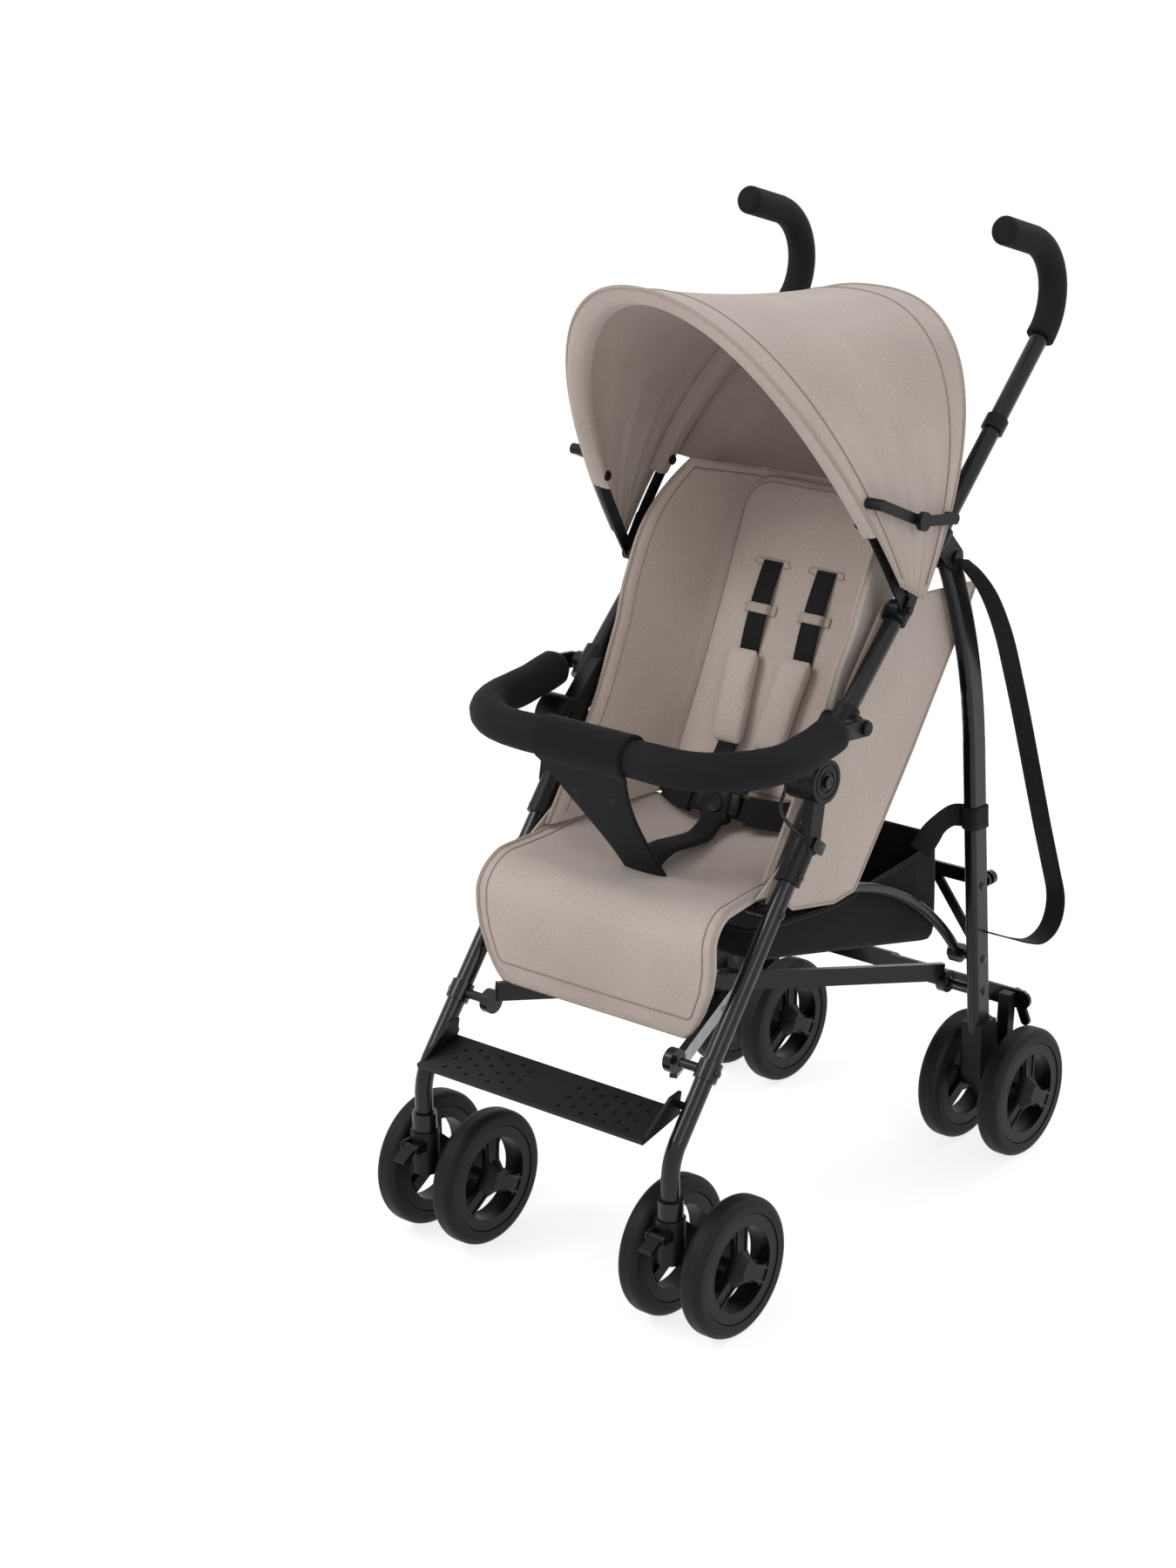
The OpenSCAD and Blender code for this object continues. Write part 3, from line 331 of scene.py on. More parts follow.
# Closed-cell foam sleeve: pulled over the tube, matt, with open pores of about half a millimetre drawn at 1.3.
FOAM = Coating("closed_cell_foam", "#0f0e11", "#17161a", 0.8, Slot.FOAM, 0.0013, 0.00022, 0.75)
# Woven polyester: mixed yarn, so a taupe that flecks lighter and darker.
# Its 0.5 mm threads are drawn at 1.5 mm to show.
TAUPE = Cloth("woven_polyester_taupe", "#c8bbb3", "#b2a49c", 0.86, Slot.SEAT, 0.0015, 0.00022, 0.0035, 0.2)
# The same cloth turned under at seams and edges, coloured a little darker than the cloth as painted shade along the
# seams and edges.
PIPING_PAINTED_SHADE = Cloth("woven_polyester_piping_painted_shade", "#b8aba2", "#a0938a", 0.86, Slot.SEAT, 0.0012, 0.0002, 0.003, 0.2)
# Woven polyester, dyed black: the basket and the bumper's panel, flat and dull.
BLACK = Cloth("woven_polyester_black", "#0f0f11", "#17171a", 0.85, Slot.BLACK, 0.0016, 0.0002, 0.003, 0.05)
# Polypropylene webbing: woven narrow with strong cross ribs of about 1 mm, drawn at 2 mm to show.
WEBBING = Cloth("woven_webbing", "#0e0d0f", "#19181a", 0.66, Slot.WEBBING, 0.002, 0.00045, 0.003, 0.05, 4.0)
# Bonded nylon thread: taupe stitches that catch a little light.
THREAD = Coating("bonded_nylon_thread", "#9c8f85", "#877a70", 0.55, Slot.SEAT, 0.0008, 0.00005, 0.3)
# The same thread in black.
DARK_THREAD = Coating("bonded_nylon_thread_black", "#1e1d20", "#2a292c", 0.5, Slot.BLACK, 0.0008, 0.00005, 0.3)


# ---------------------------------------------------------------- mesh tools


def array(points: Iterable[Point]) -> np.ndarray:
    """Returns points as an array of floats."""
    return np.array([list(p) for p in points], dtype=float)


def lengths(line: np.ndarray) -> np.ndarray:
    """Returns how far along the line each of its points lies."""
    return np.concatenate([[0.0], np.cumsum(np.linalg.norm(np.diff(line, axis=0), axis=1))])


def resample(line: np.ndarray, step: float) -> np.ndarray:
    """Lays points evenly along a smooth line.

    Args:
        line: Points that the line passes through.
        step: Distance between the new points, in metres.

    Returns:
        The new points, on a Catmull-Rom curve through the old ones.
    """
    ends = np.vstack([2 * line[0] - line[1], line, 2 * line[-1] - line[-2]])
    fine = []
    for i in range(1, len(ends) - 2):
        p0, p1, p2, p3 = ends[i - 1 : i + 3]
        for t in np.linspace(0, 1, 24, endpoint=False):
            fine.append(
                0.5
                * (2 * p1 + (p2 - p0) * t + (2 * p0 - 5 * p1 + 4 * p2 - p3) * t**2 + (3 * p1 - p0 - 3 * p2 + p3) * t**3)
            )
    fine = np.vstack([np.array(fine), line[-1]])
    along = lengths(fine)
    wanted = np.linspace(0, along[-1], max(2, round(along[-1] / step) + 1))
    return np.column_stack([np.interp(wanted, along, fine[:, k]) for k in range(3)])


def link(name: str, data: bpy.types.ID) -> Piece:
    """Puts data into the scene.

    Args:
        name: Name of the object that holds it.
        data: Mesh, lamp or camera.

    Returns:
        The object.
    """
    made = bpy.data.objects.new(name, data)
    bpy.context.scene.collection.objects.link(made)
    return made


def as_object(
    name: str, points: np.ndarray, faces: list[Sequence[int]], weave: np.ndarray | None = None
) -> Piece:
    """Makes a mesh object.

    Args:
        name: Its name.
        points: Its vertices.
        faces: Its faces, as vertex numbers.
        weave: Lay of the cloth at each vertex, in metres.

    Returns:
        The object, smooth shaded, linked to the scene.
    """
    mesh = bpy.data.meshes.new(name)
    mesh.from_pydata([tuple(p) for p in points], [], [tuple(int(i) for i in f) for f in faces])
    if weave is not None:
        layer = mesh.attributes.new("weave", "FLOAT_VECTOR", "POINT")
        layer.data.foreach_set("vector", np.column_stack([weave, np.zeros(len(weave))]).ravel())
    mesh.polygons.foreach_set("use_smooth", [True] * len(mesh.polygons))
    mesh.update()
    return link(name, mesh)


def bake(piece: Piece) -> None:
    """Applies a piece's modifiers."""
    graph = bpy.context.evaluated_depsgraph_get()
    mesh = bpy.data.meshes.new_from_object(piece.evaluated_get(graph))
    piece.modifiers.clear()
    piece.data = mesh


def crease(piece: Piece, degrees: float = 38.0) -> Piece:
    """Keeps edges sharper than an angle crisp and returns the piece."""
    piece.data.set_sharp_from_angle(angle=math.radians(degrees))
    return piece


def sample(at: Surface, rows: int, cols: int) -> np.ndarray:
    """Takes a grid of points from a surface.

    Args:
        at: Gives the point at (v, u), each from 0 to 1.
        rows: Steps of v.
        cols: Steps of u.

    Returns:
        The points by row and column.
    """
    points = array(at(i / rows, j / cols) for i in range(rows + 1) for j in range(cols + 1))
    return points.reshape(rows + 1, cols + 1, 3)


def border(at: Surface, down: int, across: int) -> np.ndarray:
    """Takes the points along three edges of a surface.

    Args:
        at: Gives the point at (v, u), each from 0 to 1.
        down: Points along each side edge.
        across: Points along the edge between them.

    Returns:
        The points, up the first side, across at v = 1 and back.
    """
    points = [at(t, 0.0) for t in np.linspace(0, 1, down)]
    points += [at(1.0, u) for u in np.linspace(0, 1, across)[1:]]
    return array(points + [at(t, 1.0) for t in np.linspace(1, 0, down)[1:]])


def patch(name: str, at: Surface, rows: int, cols: int, thick: float = 0.0) -> Piece:
    """Makes a curved sheet from a function.

    Args:
        name: Its name.
        at: Gives the point at (v, u), each from 0 to 1.
        rows: Steps of v.
        cols: Steps of u.
        thick: Its thickness, laid on the side away from its normals.

    Returns:
        The sheet, with its weave laid along its rows and columns.
    """
    grid = sample(at, rows, cols)
    run_u = np.mean([lengths(row) for row in grid], axis=0)
    run_v = np.mean([lengths(grid[:, j]) for j in range(cols + 1)], axis=0)
    lay = np.array([[run_u[j], run_v[i]] for i in range(rows + 1) for j in range(cols + 1)])
    n = cols + 1
    faces = [(i * n + j, i * n + j + 1, (i + 1) * n + j + 1, (i + 1) * n + j) for i in range(rows) for j in range(cols)]
    piece = as_object(name, grid.reshape(-1, 3), faces, lay)
    if thick:
        solid = piece.modifiers.new("thick", "SOLIDIFY")
        solid.thickness = thick
        solid.offset = -1
        solid.use_even_offset = True
        bake(piece)
        crease(piece, 60)
    return piece


def declare(at: Surface) -> None:
    """Measures the width, length and area of the surface that a piece was made from, and does nothing with them.

    Args:
        at: Gives the point at (v, u), each from 0 to 1.
    """
    n = 36
    grid = sample(at, n, n)
    width = max(lengths(row)[-1] for row in grid)
    length = max(lengths(grid[:, j])[-1] for j in range(n + 1))
    down, across = np.diff(grid[:, :-1], axis=0), np.diff(grid[:-1], axis=1)
    area = float(np.linalg.norm(np.cross(down, across), axis=2).sum())


def loft(name: str, rings: np.ndarray, ring_closed: bool = False) -> Piece:
    """Joins rings of points into a closed skin.

    Args:
        name: Its name.
        rings: Array of rings, each of the same number of points.
        ring_closed: True if the last ring meets the first, else the ends are capped.

    Returns:
        The piece, with its weave along and round it.
    """
    n, m = rings.shape[:2]
    along = lengths(rings.mean(axis=1))
    girth = np.mean([lengths(np.vstack([r, r[:1]]))[-1] for r in rings])
    lay = np.array([[girth * j / m, along[i]] for i in range(n) for j in range(m)])
    faces: list[Sequence[int]] = []
    for i in range(n if ring_closed else n - 1):
        k = (i + 1) % n
        faces += [(i * m + j, i * m + (j + 1) % m, k * m + (j + 1) % m, k * m + j) for j in range(m)]
    if not ring_closed:
        faces += [tuple(range(m - 1, -1, -1)), tuple(range((n - 1) * m, n * m))]
    return as_object(name, rings.reshape(-1, 3), faces, lay)


def headings(path: np.ndarray) -> np.ndarray:
    """Returns the unit direction of a path at each of its points."""
    ahead = np.gradient(path, axis=0)
    return ahead / np.linalg.norm(ahead, axis=1)[:, None]


def frames(path: np.ndarray, first: Point | None = None) -> tuple[np.ndarray, np.ndarray]:
    """Carries a pair of cross directions along a path without twist.

    Args:
        path: Points of the path.
        first: Wished cross direction at its start.

    Returns:
        Two arrays of unit vectors across the path.
    """
    ahead = headings(path)
    start = np.array(first if first is not None else (0.0, 0.0, 1.0), dtype=float)
    if abs(start @ ahead[0]) > 0.95:
        start = np.array((1.0, 0.0, 0.0))
    sides, ups = [], []
    side = start - ahead[0] * (start @ ahead[0])
    for direction in ahead:
        side = side - direction * (side @ direction)
        side /= np.linalg.norm(side)
        sides.append(side)
        ups.append(np.cross(direction, side))
    return np.array(sides), np.array(ups)


def tube(
    name: str,
    path: np.ndarray,
    radius: float | Callable[[float], float],
    sides: int = 12,
    closed: bool = False,
) -> Piece:
    """Sweeps a round section along a path.

    Args:
        name: Its name.
        path: Points of its centreline.
        radius: Its radius, or a function of the share of the way along.
        sides: Points round it.
        closed: True if the path is a loop.

    Returns:
        The piece.
    """
    a, b = frames(path)
    size = radius if callable(radius) else lambda _share: radius
    turns = [2 * math.pi * j / sides for j in range(sides)]
    rings = np.array(
        [
            [p + size(i / (len(path) - 1)) * (math.cos(t) * a[i] + math.sin(t) * b[i]) for t in turns]
            for i, p in enumerate(path)
        ]
    )
    return loft(name, rings, closed)


def ribbon(
    name: str,
    path: np.ndarray,
    across: Point | np.ndarray,
    width: float | Callable[[float], float],
    thick: float,
    crown: float = 0.0,
) -> Piece:
    """Sweeps a flat section with rounded edges along a path, as for a strap.

    Args:
        name: Its name.
        path: Points of its centreline.
        across: Direction of its width, or one for each point.
        width: Its width, or a function of the share of the way along.
        thick: Its thickness.
        crown: How far its middle stands out on the upper side.

    Returns:
        The piece.
    """
    ahead = headings(path)
    wide = np.broadcast_to(np.array(across, dtype=float), path.shape).copy()
    wide -= ahead * np.sum(wide * ahead, axis=1)[:, None]
    wide /= np.linalg.norm(wide, axis=1)[:, None]
    up = np.cross(wide, ahead)
    size = width if callable(width) else lambda _share: width
    section = [(-0.5, -0.2), (-0.48, -0.5), (-0.25, -0.5), (0, -0.5), (0.25, -0.5), (0.48, -0.5), (0.5, -0.2)]
    section += [(-x, -z) for x, z in section]
    rings = []
    for i, p in enumerate(path):
        w = size(i / (len(path) - 1))
        rings.append(
            [p + w * x * wide[i] + (thick * z + (crown * (1 - 4 * x * x) if z > 0 else 0)) * up[i] for x, z in section]
        )
    return crease(loft(name, np.array(rings)), 70)


def lathe(name: str, profile: Sequence[Pair], origin: Point, axis: Point, turns: int = 24) -> Piece:
    """Turns a profile about an axis, as for a rivet, cap or press stud.

    Args:
        name: Its name.
        profile: Pairs of radius and height, from the foot to the top.
        origin: Foot of the axis.
        axis: Its direction.
        turns: Points round it.

    Returns:
        The piece.
    """
    z = np.array(axis, dtype=float)
    z /= np.linalg.norm(z)
    x = np.cross(z, (0.0, 0.0, 1.0) if abs(z[2]) < 0.9 else (1.0, 0.0, 0.0))
    x /= np.linalg.norm(x)
    y = np.cross(z, x)
    angles = [2 * math.pi * j / turns for j in range(turns)]
    rings = np.array(
        [[np.array(origin) + h * z + r * (math.cos(t) * x + math.sin(t) * y) for t in angles] for r, h in profile]
    )
    return crease(loft(name, rings), 35)


def stitches(name: str, lines: Iterable[np.ndarray], pitch: float = 0.0048, half: float = 0.00042) -> Piece:
    """Sews rows of small stitches along lines.

    Args:
        name: Its name.
        lines: Lines that the rows follow.
        pitch: Distance from stitch to stitch; real ones are about 3 mm, drawn longer to show.
        half: Half the thickness of the thread.

    Returns:
        One piece that holds every stitch.
    """
    points: list[np.ndarray] = []
    faces: list[Sequence[int]] = []
    for line in lines:
        row = resample(line, pitch)
        a, b = frames(row)
        for i in range(len(row) - 1):
            head, tail = row[i], row[i] + 0.68 * (row[i + 1] - row[i])
            base = len(points)
            for end in (head, tail):
                for k in range(4):
                    t = math.pi / 2 * k
                    points.append(end + half * (math.cos(t) * a[i] + math.sin(t) * b[i]))
            faces += [(base + k, base + (k + 1) % 4, base + 4 + (k + 1) % 4, base + 4 + k) for k in range(4)]
            faces += [(base + 3, base + 2, base + 1, base), (base + 4, base + 5, base + 6, base + 7)]
    return as_object(name, np.array(points), faces)


def seam(name: str, lines: Iterable[np.ndarray]) -> Piece:
    """Draws sewn lines: a thin cord in the crease that a row of stitches pulls into cloth.

    Args:
        name: Its name.
        lines: Lines that the rows follow.

    Returns:
        One piece that holds every line.
    """
    return merge(name, [tube("row", resample(line, 0.006), 0.0008, 6) for line in lines])


def rounded(w: float, h: float, r: float, corner: int = 6, edge: int = 1) -> list[Pair]:
    """Gives the outline of a rectangle with round corners, centred on the origin.

    Args:
        w: Its width.
        h: Its height.
        r: Radius of its corners.
        corner: Steps in each corner.
        edge: Steps in each straight edge.

    Returns:
        Its points, anticlockwise.
    """
    points: list[Pair] = []
    centres = [(w / 2 - r, h / 2 - r), (r - w / 2, h / 2 - r), (r - w / 2, r - h / 2), (w / 2 - r, r - h / 2)]
    for k, (cx, cy) in enumerate(centres):
        arc = [math.pi / 2 * (k + i / corner) for i in range(corner + 1)]
        points += [(cx + r * math.cos(t), cy + r * math.sin(t)) for t in arc]
        nx, ny = centres[(k + 1) % 4]
        turn = math.pi / 2 * (k + 1)
        start = np.array(points[-1])
        stop = np.array((nx + r * math.cos(turn), ny + r * math.sin(turn)))
        points += [tuple(start + (stop - start) * i / edge) for i in range(1, edge)]
    return points


def rounded_section(steps: int) -> list[Pair]:
    """Returns a squared ellipse within 1 to each side, as the section of a pad."""
    turns = [2 * math.pi * i / steps for i in range(steps)]
    power = 0.55
    return [
        (
            math.copysign(abs(math.cos(t)) ** power, math.cos(t)),
            math.copysign(abs(math.sin(t)) ** power, math.sin(t)),
        )
        for t in turns
    ]


def capsule(a: np.ndarray, b: np.ndarray, r: float, steps: int = 10) -> list[Pair]:
    """Gives the outline of a bar with round ends in a plane.

    Args:
        a: Centre of one end.
        b: Centre of the other.
        r: Radius of the ends.
        steps: Steps in each end.

    Returns:
        Its points.
    """
    turn = math.atan2(b[1] - a[1], b[0] - a[0])
    ends = [(b, turn - math.pi / 2), (a, turn + math.pi / 2)]
    return [
        (c[0] + r * math.cos(start + math.pi * i / steps), c[1] + r * math.sin(start + math.pi * i / steps))
        for c, start in ends
        for i in range(steps + 1)
    ]


def plate(name: str, outline: Sequence[Pair], x0: float, x1: float, bevel: float) -> Piece:
    """Makes a plate that stands in a side plane, with softened edges.

    Args:
        name: Its name.
        outline: Its outline, as (y, z).
        x0: X of one face.
        x1: X of the other.
        bevel: Size of the softened edge.

    Returns:
        The piece.
    """
    flat = np.array(outline)
    middle = flat.mean(axis=0)
    size = np.abs(flat - middle).max()
    step = math.copysign(bevel, x1 - x0)
    rings = []
    for x, inset in ((x0, bevel), (x0 + step, 0.0), (x1 - step, 0.0), (x1, bevel)):
        ring = middle + (flat - middle) * (1 - inset / size)
        rings.append([(x, y, z) for y, z in ring])
    return crease(loft(name, np.array(rings)), 50)


def slab(
    name: str, centre: Point, across: Point, up: Point, size: Triple, corner: float, bevel: float
) -> Piece:
    """Makes a moulded block with round corners and softened edges.

    Args:
        name: Its name.
        centre: Its centre.
        across: Direction of its width.
        up: Direction of its height.
        size: Width, height and thickness.
        corner: Radius of its corners.
        bevel: Size of the softened edges.

    Returns:
        The piece.
    """
    x, y = np.array(across, dtype=float), np.array(up, dtype=float)
    z = np.cross(x, y)
    w, h, t = size
    levels = [(bevel, -t / 2), (bevel * 0.3, -t / 2 + bevel * 0.3), (0, -t / 2 + bevel), (0, t / 2 - bevel)]
    levels += [(bevel * 0.3, t / 2 - bevel * 0.3), (bevel, t / 2)]
    rings = []
    for inset, high in levels:
        outline = rounded(w - 2 * inset, h - 2 * inset, max(0.0005, corner - inset))
        rings.append([np.array(centre) + px * x + py * y + high * z for px, py in outline])
    return crease(loft(name, np.array(rings)), 50)


def merge(name: str, parts: Sequence[Piece]) -> Piece:
    """Joins pieces of one finish into one.

    Args:
        name: Name of the whole.
        parts: The pieces, which go.

    Returns:
        The joined piece.
    """
    mesh = bmesh.new()
    for part in parts:
        mesh.from_mesh(part.data)
        bpy.data.objects.remove(part)
    whole = bpy.data.meshes.new(name)
    mesh.to_mesh(whole)
    mesh.free()
    return link(name, whole)


def set_weave(piece: Piece, lay: Callable[[Vector], Pair]) -> None:
    """Lays the weave over a piece again.

    Args:
        piece: The piece.
        lay: Gives a point's place in the cloth, in metres.
    """
    mesh = piece.data
    if "weave" in mesh.attributes:
        mesh.attributes.remove(mesh.attributes["weave"])
    layer = mesh.attributes.new("weave", "FLOAT_VECTOR", "POINT")
    layer.data.foreach_set("vector", [c for v in mesh.vertices for c in (*lay(v.co), 0.0)])


def stuff(piece: Piece, voxel: float, cap: float, lay: Callable[[Vector], Pair]) -> Piece:
    """Fills a sewn shape, so that its cloth swells between its edges.

    Args:
        piece: The shape as sewn, a little smaller than it ends.
        voxel: Size of the cloth's cells, in metres.
        cap: Farthest that a point may move, in metres.
        lay: Gives a point's place in the cloth, for the weave.

    Returns:
        The filled piece.
    """
    last = 20  # frames in which the cloth settles
    remesh = piece.modifiers.new("cells", "REMESH")
    remesh.mode = "VOXEL"
    remesh.voxel_size = voxel
    bake(piece)
    before = np.array([v.co[:] for v in piece.data.vertices])
    cloth = piece.modifiers.new("cloth", "CLOTH")
    cloth.settings.use_pressure = True
    cloth.settings.uniform_pressure_force = 4.0
    cloth.settings.quality = 6
    cloth.settings.mass = 0.25
    cloth.settings.tension_stiffness = 18
    cloth.settings.compression_stiffness = 18
    cloth.settings.bending_stiffness = 1.5
    cloth.settings.effector_weights.gravity = 0.0
    cloth.collision_settings.use_collision = False
    cloth.point_cache.frame_start = 1
    cloth.point_cache.frame_end = last
    for frame in range(1, last + 1):
        bpy.context.scene.frame_set(frame)
    bake(piece)
    bpy.context.scene.frame_set(1)
    after = np.array([v.co[:] for v in piece.data.vertices])
    moved = after - before
    far = np.linalg.norm(moved, axis=1)
    scale = np.where(far > cap, cap / np.maximum(far, 1e-9), 1.0)
    piece.data.vertices.foreach_set("co", (before + moved * scale[:, None]).ravel())
    piece.data.update()
    finer = piece.modifiers.new("finer", "SUBSURF")
    finer.levels = finer.render_levels = 1
    bake(piece)
    piece.data.polygons.foreach_set("use_smooth", [True] * len(piece.data.polygons))
    set_weave(piece, lay)
    return piece


def place(
    piece: Piece,
    finish: Finish,
    body: str,
    stands_for: Sequence[str] = (),
    folds: bool = False,
) -> None:
    """Gives a piece its finish and its body.

    Args:
        piece: The piece.
        finish: Its finish.
        body: Body that it moves with.
        stands_for: Nodes that it replaces.
        folds: True if it closes up across the frame as the stroller folds.
    """
    piece.data.materials.clear()
    piece.data.materials.append(finish.material())
    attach(piece, body)
    if stands_for:
        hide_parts(*stands_for)
    if folds:
        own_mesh(piece)
    LOG.info("%s on %s, %d faces", piece.name, body, len(piece.data.polygons))


def twin(frame: dict, node: str, name: str) -> Piece:
    """Makes a free piece with the shape of a node.

    Args:
        frame: The loaded frame.
        node: The node.
        name: Name of the piece.

    Returns:
        The piece, in the frame's axes.
    """
    source = frame["nodes"][node]
    mesh = source.data.copy()
    mesh.name = name
    mesh.transform(source.matrix_world)
    return link(name, mesh)


# ---------------------------------------------------------------- the side frame's plane


@dataclass(frozen=True)
class SidePlane:
    """Points of the side frames, as (y, z).

    Attributes:
        hinge: Centre of the disc hinge.
        slope: Angle of the handle tube, in degrees.
        canopy_at: Distance of the canopy's pivot up the handle.
        canopy_off: Its offset to the front of the handle.
    """

    hinge: Pair = (-0.084, 0.540)
    slope: float = 43.8
    canopy_at: float = 0.203
    canopy_off: float = -0.013

    def on_handle(self, s: float, n: float = 0.0) -> Pair:
        """Returns the point s up the handle and n behind it."""
        c, d = math.cos(math.radians(self.slope)), math.sin(math.radians(self.slope))
        return self.hinge[0] + s * c + n * d, self.hinge[1] + s * d - n * c

    @property
    def canopy_pivot(self) -> Pair:
        """Pivot of the canopy's bows."""
        return self.on_handle(self.canopy_at, self.canopy_off)


PLANE = SidePlane()


# ---------------------------------------------------------------- studio


@dataclass
class Studio:
    """Floor, light and camera, at the photograph's angle.

    Attributes:
        eye: Camera's place.
        target: Point that it looks at.
        lens: Focal length in millimetres on a 36 mm sensor.
        shift: Offset of the picture, as a share of its long side.
    """

    eye: Triple = (1.974, -2.546, 1.602)
    target: Triple = (0.0, 0.0, 0.5073)
    lens: float = 72.87
    shift: Pair = (-0.09197, -0.0183)

    def camera(self) -> None:
        """Sets up the camera."""
        data = bpy.data.cameras.new("camera")
        data.lens = self.lens
        data.sensor_width = 36
        data.shift_x, data.shift_y = self.shift
        camera = link("camera", data)
        self.aim(camera, self.eye, self.target)
        bpy.context.scene.camera = camera

    def aim(self, thing: Piece, spot: Point, target: Point) -> None:
        """Puts a camera or lamp in its place and turns it.

        Args:
            thing: The camera or lamp.
            spot: Its place.
            target: Point that it faces.
        """
        thing.location = spot
        thing.rotation_euler = (Vector(target) - Vector(spot)).to_track_quat("-Z", "Y").to_euler()

    def straight(self, tree: Tree) -> Socket:
        """Returns a socket that is 1 for rays seen straight, in reflections or through glass."""
        path = add(tree, "ShaderNodeLightPath")
        either = {"operation": "ADD", "use_clamp": True}
        first = {0: path.outputs["Is Camera Ray"], 1: path.outputs["Is Glossy Ray"]}
        seen = add(tree, "ShaderNodeMath", either, first).outputs[0]
        return add(tree, "ShaderNodeMath", either, {0: seen, 1: path.outputs["Is Transmission Ray"]}).outputs[0]

    def light(self) -> None:
        """Hangs three soft panels and a pale sky."""
        panels = (
            ("key", (-1.4, -2.2, 3.0), 1.6, 44.0),
            ("fill", (2.6, -1.2, 1.9), 1.6, 15.0),
            ("back", (0.6, 2.6, 2.6), 1.6, 22.0),
        )
        for name, spot, size, power in panels:
            data = bpy.data.lights.new(name, "AREA")
            data.shape = "DISK"
            data.size = size
            data.energy = power
            self.aim(link(name, data), spot, (0, 0, 0.5))
        world = bpy.data.worlds.new("studio")
        bpy.context.scene.world = world
        world.use_nodes = True
        tree = world.node_tree
        tree.nodes.clear()
        level = add(tree, "ShaderNodeMapRange", {"To Min": 0.56, "To Max": 1.0}, {"Value": self.straight(tree)})
        sky = add(tree, "ShaderNodeBackground", {"Color": (1, 1, 1, 1)}, {"Strength": level.outputs[0]})
        add(tree, "ShaderNodeOutputWorld", links={"Surface": sky.outputs[0]})
        bpy.context.scene.view_settings.view_transform = "Standard"

    def floor(self) -> None:
        """Lays a matt white floor that fills the view."""
        far, turns = 40, np.linspace(0, 2 * math.pi, 96, endpoint=False)
        rim = [(far * math.cos(t), far * math.sin(t), 0.0) for t in turns]
        sheet = as_object("floor", np.array(rim), [tuple(range(len(rim)))])
        made = bpy.data.materials.new("studio_paper")
        made.use_nodes = True
        tree = made.node_tree
        tree.nodes.clear()
        place_at = add(tree, "ShaderNodeTexCoord").outputs["Object"]
        fibre = add(tree, "ShaderNodeTexNoise", {"Scale": 400.0, "Detail": 2.0}, {"Vector": place_at})
        bump = add(tree, "ShaderNodeBump", {"Strength": 0.05, "Distance": 0.0002}, {"Height": fibre.outputs[0]})
        paper = add(
            tree,
            "ShaderNodeBsdfPrincipled",
            {"Base Color": linear("#fbfbfa"), "Roughness": 0.9, "Specular IOR Level": 0.1},
            {"Normal": bump.outputs[0]},
        )
        # To the camera and in reflections the paper is mostly white of itself, and the rest takes the shadow.
        share = add(tree, "ShaderNodeMath", {"operation": "MULTIPLY"}, {0: self.straight(tree)})
        share.inputs[1].default_value = 0.6
        white = add(tree, "ShaderNodeEmission", {"Color": (1, 1, 1, 1), "Strength": 1.32})
        both = add(tree, "ShaderNodeMixShader", links={0: share.outputs[0], 1: paper.outputs[0], 2: white.outputs[0]})
        add(tree, "ShaderNodeOutputMaterial", links={"Surface": both.outputs[0]})
        sheet.data.materials.append(made)

    def build(self) -> None:
        """Sets up everything but the camera."""
        self.light()
        self.floor()


# ---------------------------------------------------------------- carry strap


@dataclass
class CarryStrap:
    """Webbing that hangs in a loop from the leg's pivot bolt and comes back to the leg.

    Attributes:
        route: Points that it passes through, as in the part's source.
        width: Width of the webbing.
        thick: Its thickness.
    """

    route: tuple[Triple, ...] = (
        (0.1842, 0.154, 0.722),
        (0.189, 0.172, 0.706),
        (0.196, 0.194, 0.676),
        (0.197, 0.222, 0.628),
        (0.192, 0.252, 0.572),
        (0.188, 0.280, 0.512),
        (0.186, 0.306, 0.446),
        (0.186, 0.330, 0.378),
        (0.187, 0.351, 0.318),
        (0.188, 0.362, 0.282),
        (0.189, 0.358, 0.258),
        (0.190, 0.342, 0.243),
        (0.189, 0.318, 0.238),
        (0.186, 0.292, 0.246),
        (0.180, 0.268, 0.257),
        (0.177, 0.236, 0.272),
    )
    width: float = WEBBING_WIDTH
    thick: float = 0.0018

    def build(self) -> None:
        """Makes the strap."""
        path = resample(array(self.route), 0.006)
        strap = ribbon("carry_webbing", path, (1.0, 0.0, 0.0), self.width, self.thick)
        place(strap, WEBBING, "rear_frame_left", ["carry_strap"])
        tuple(self.route[0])
        float(lengths(path)[-1])


# ---------------------------------------------------------------- rigid frame


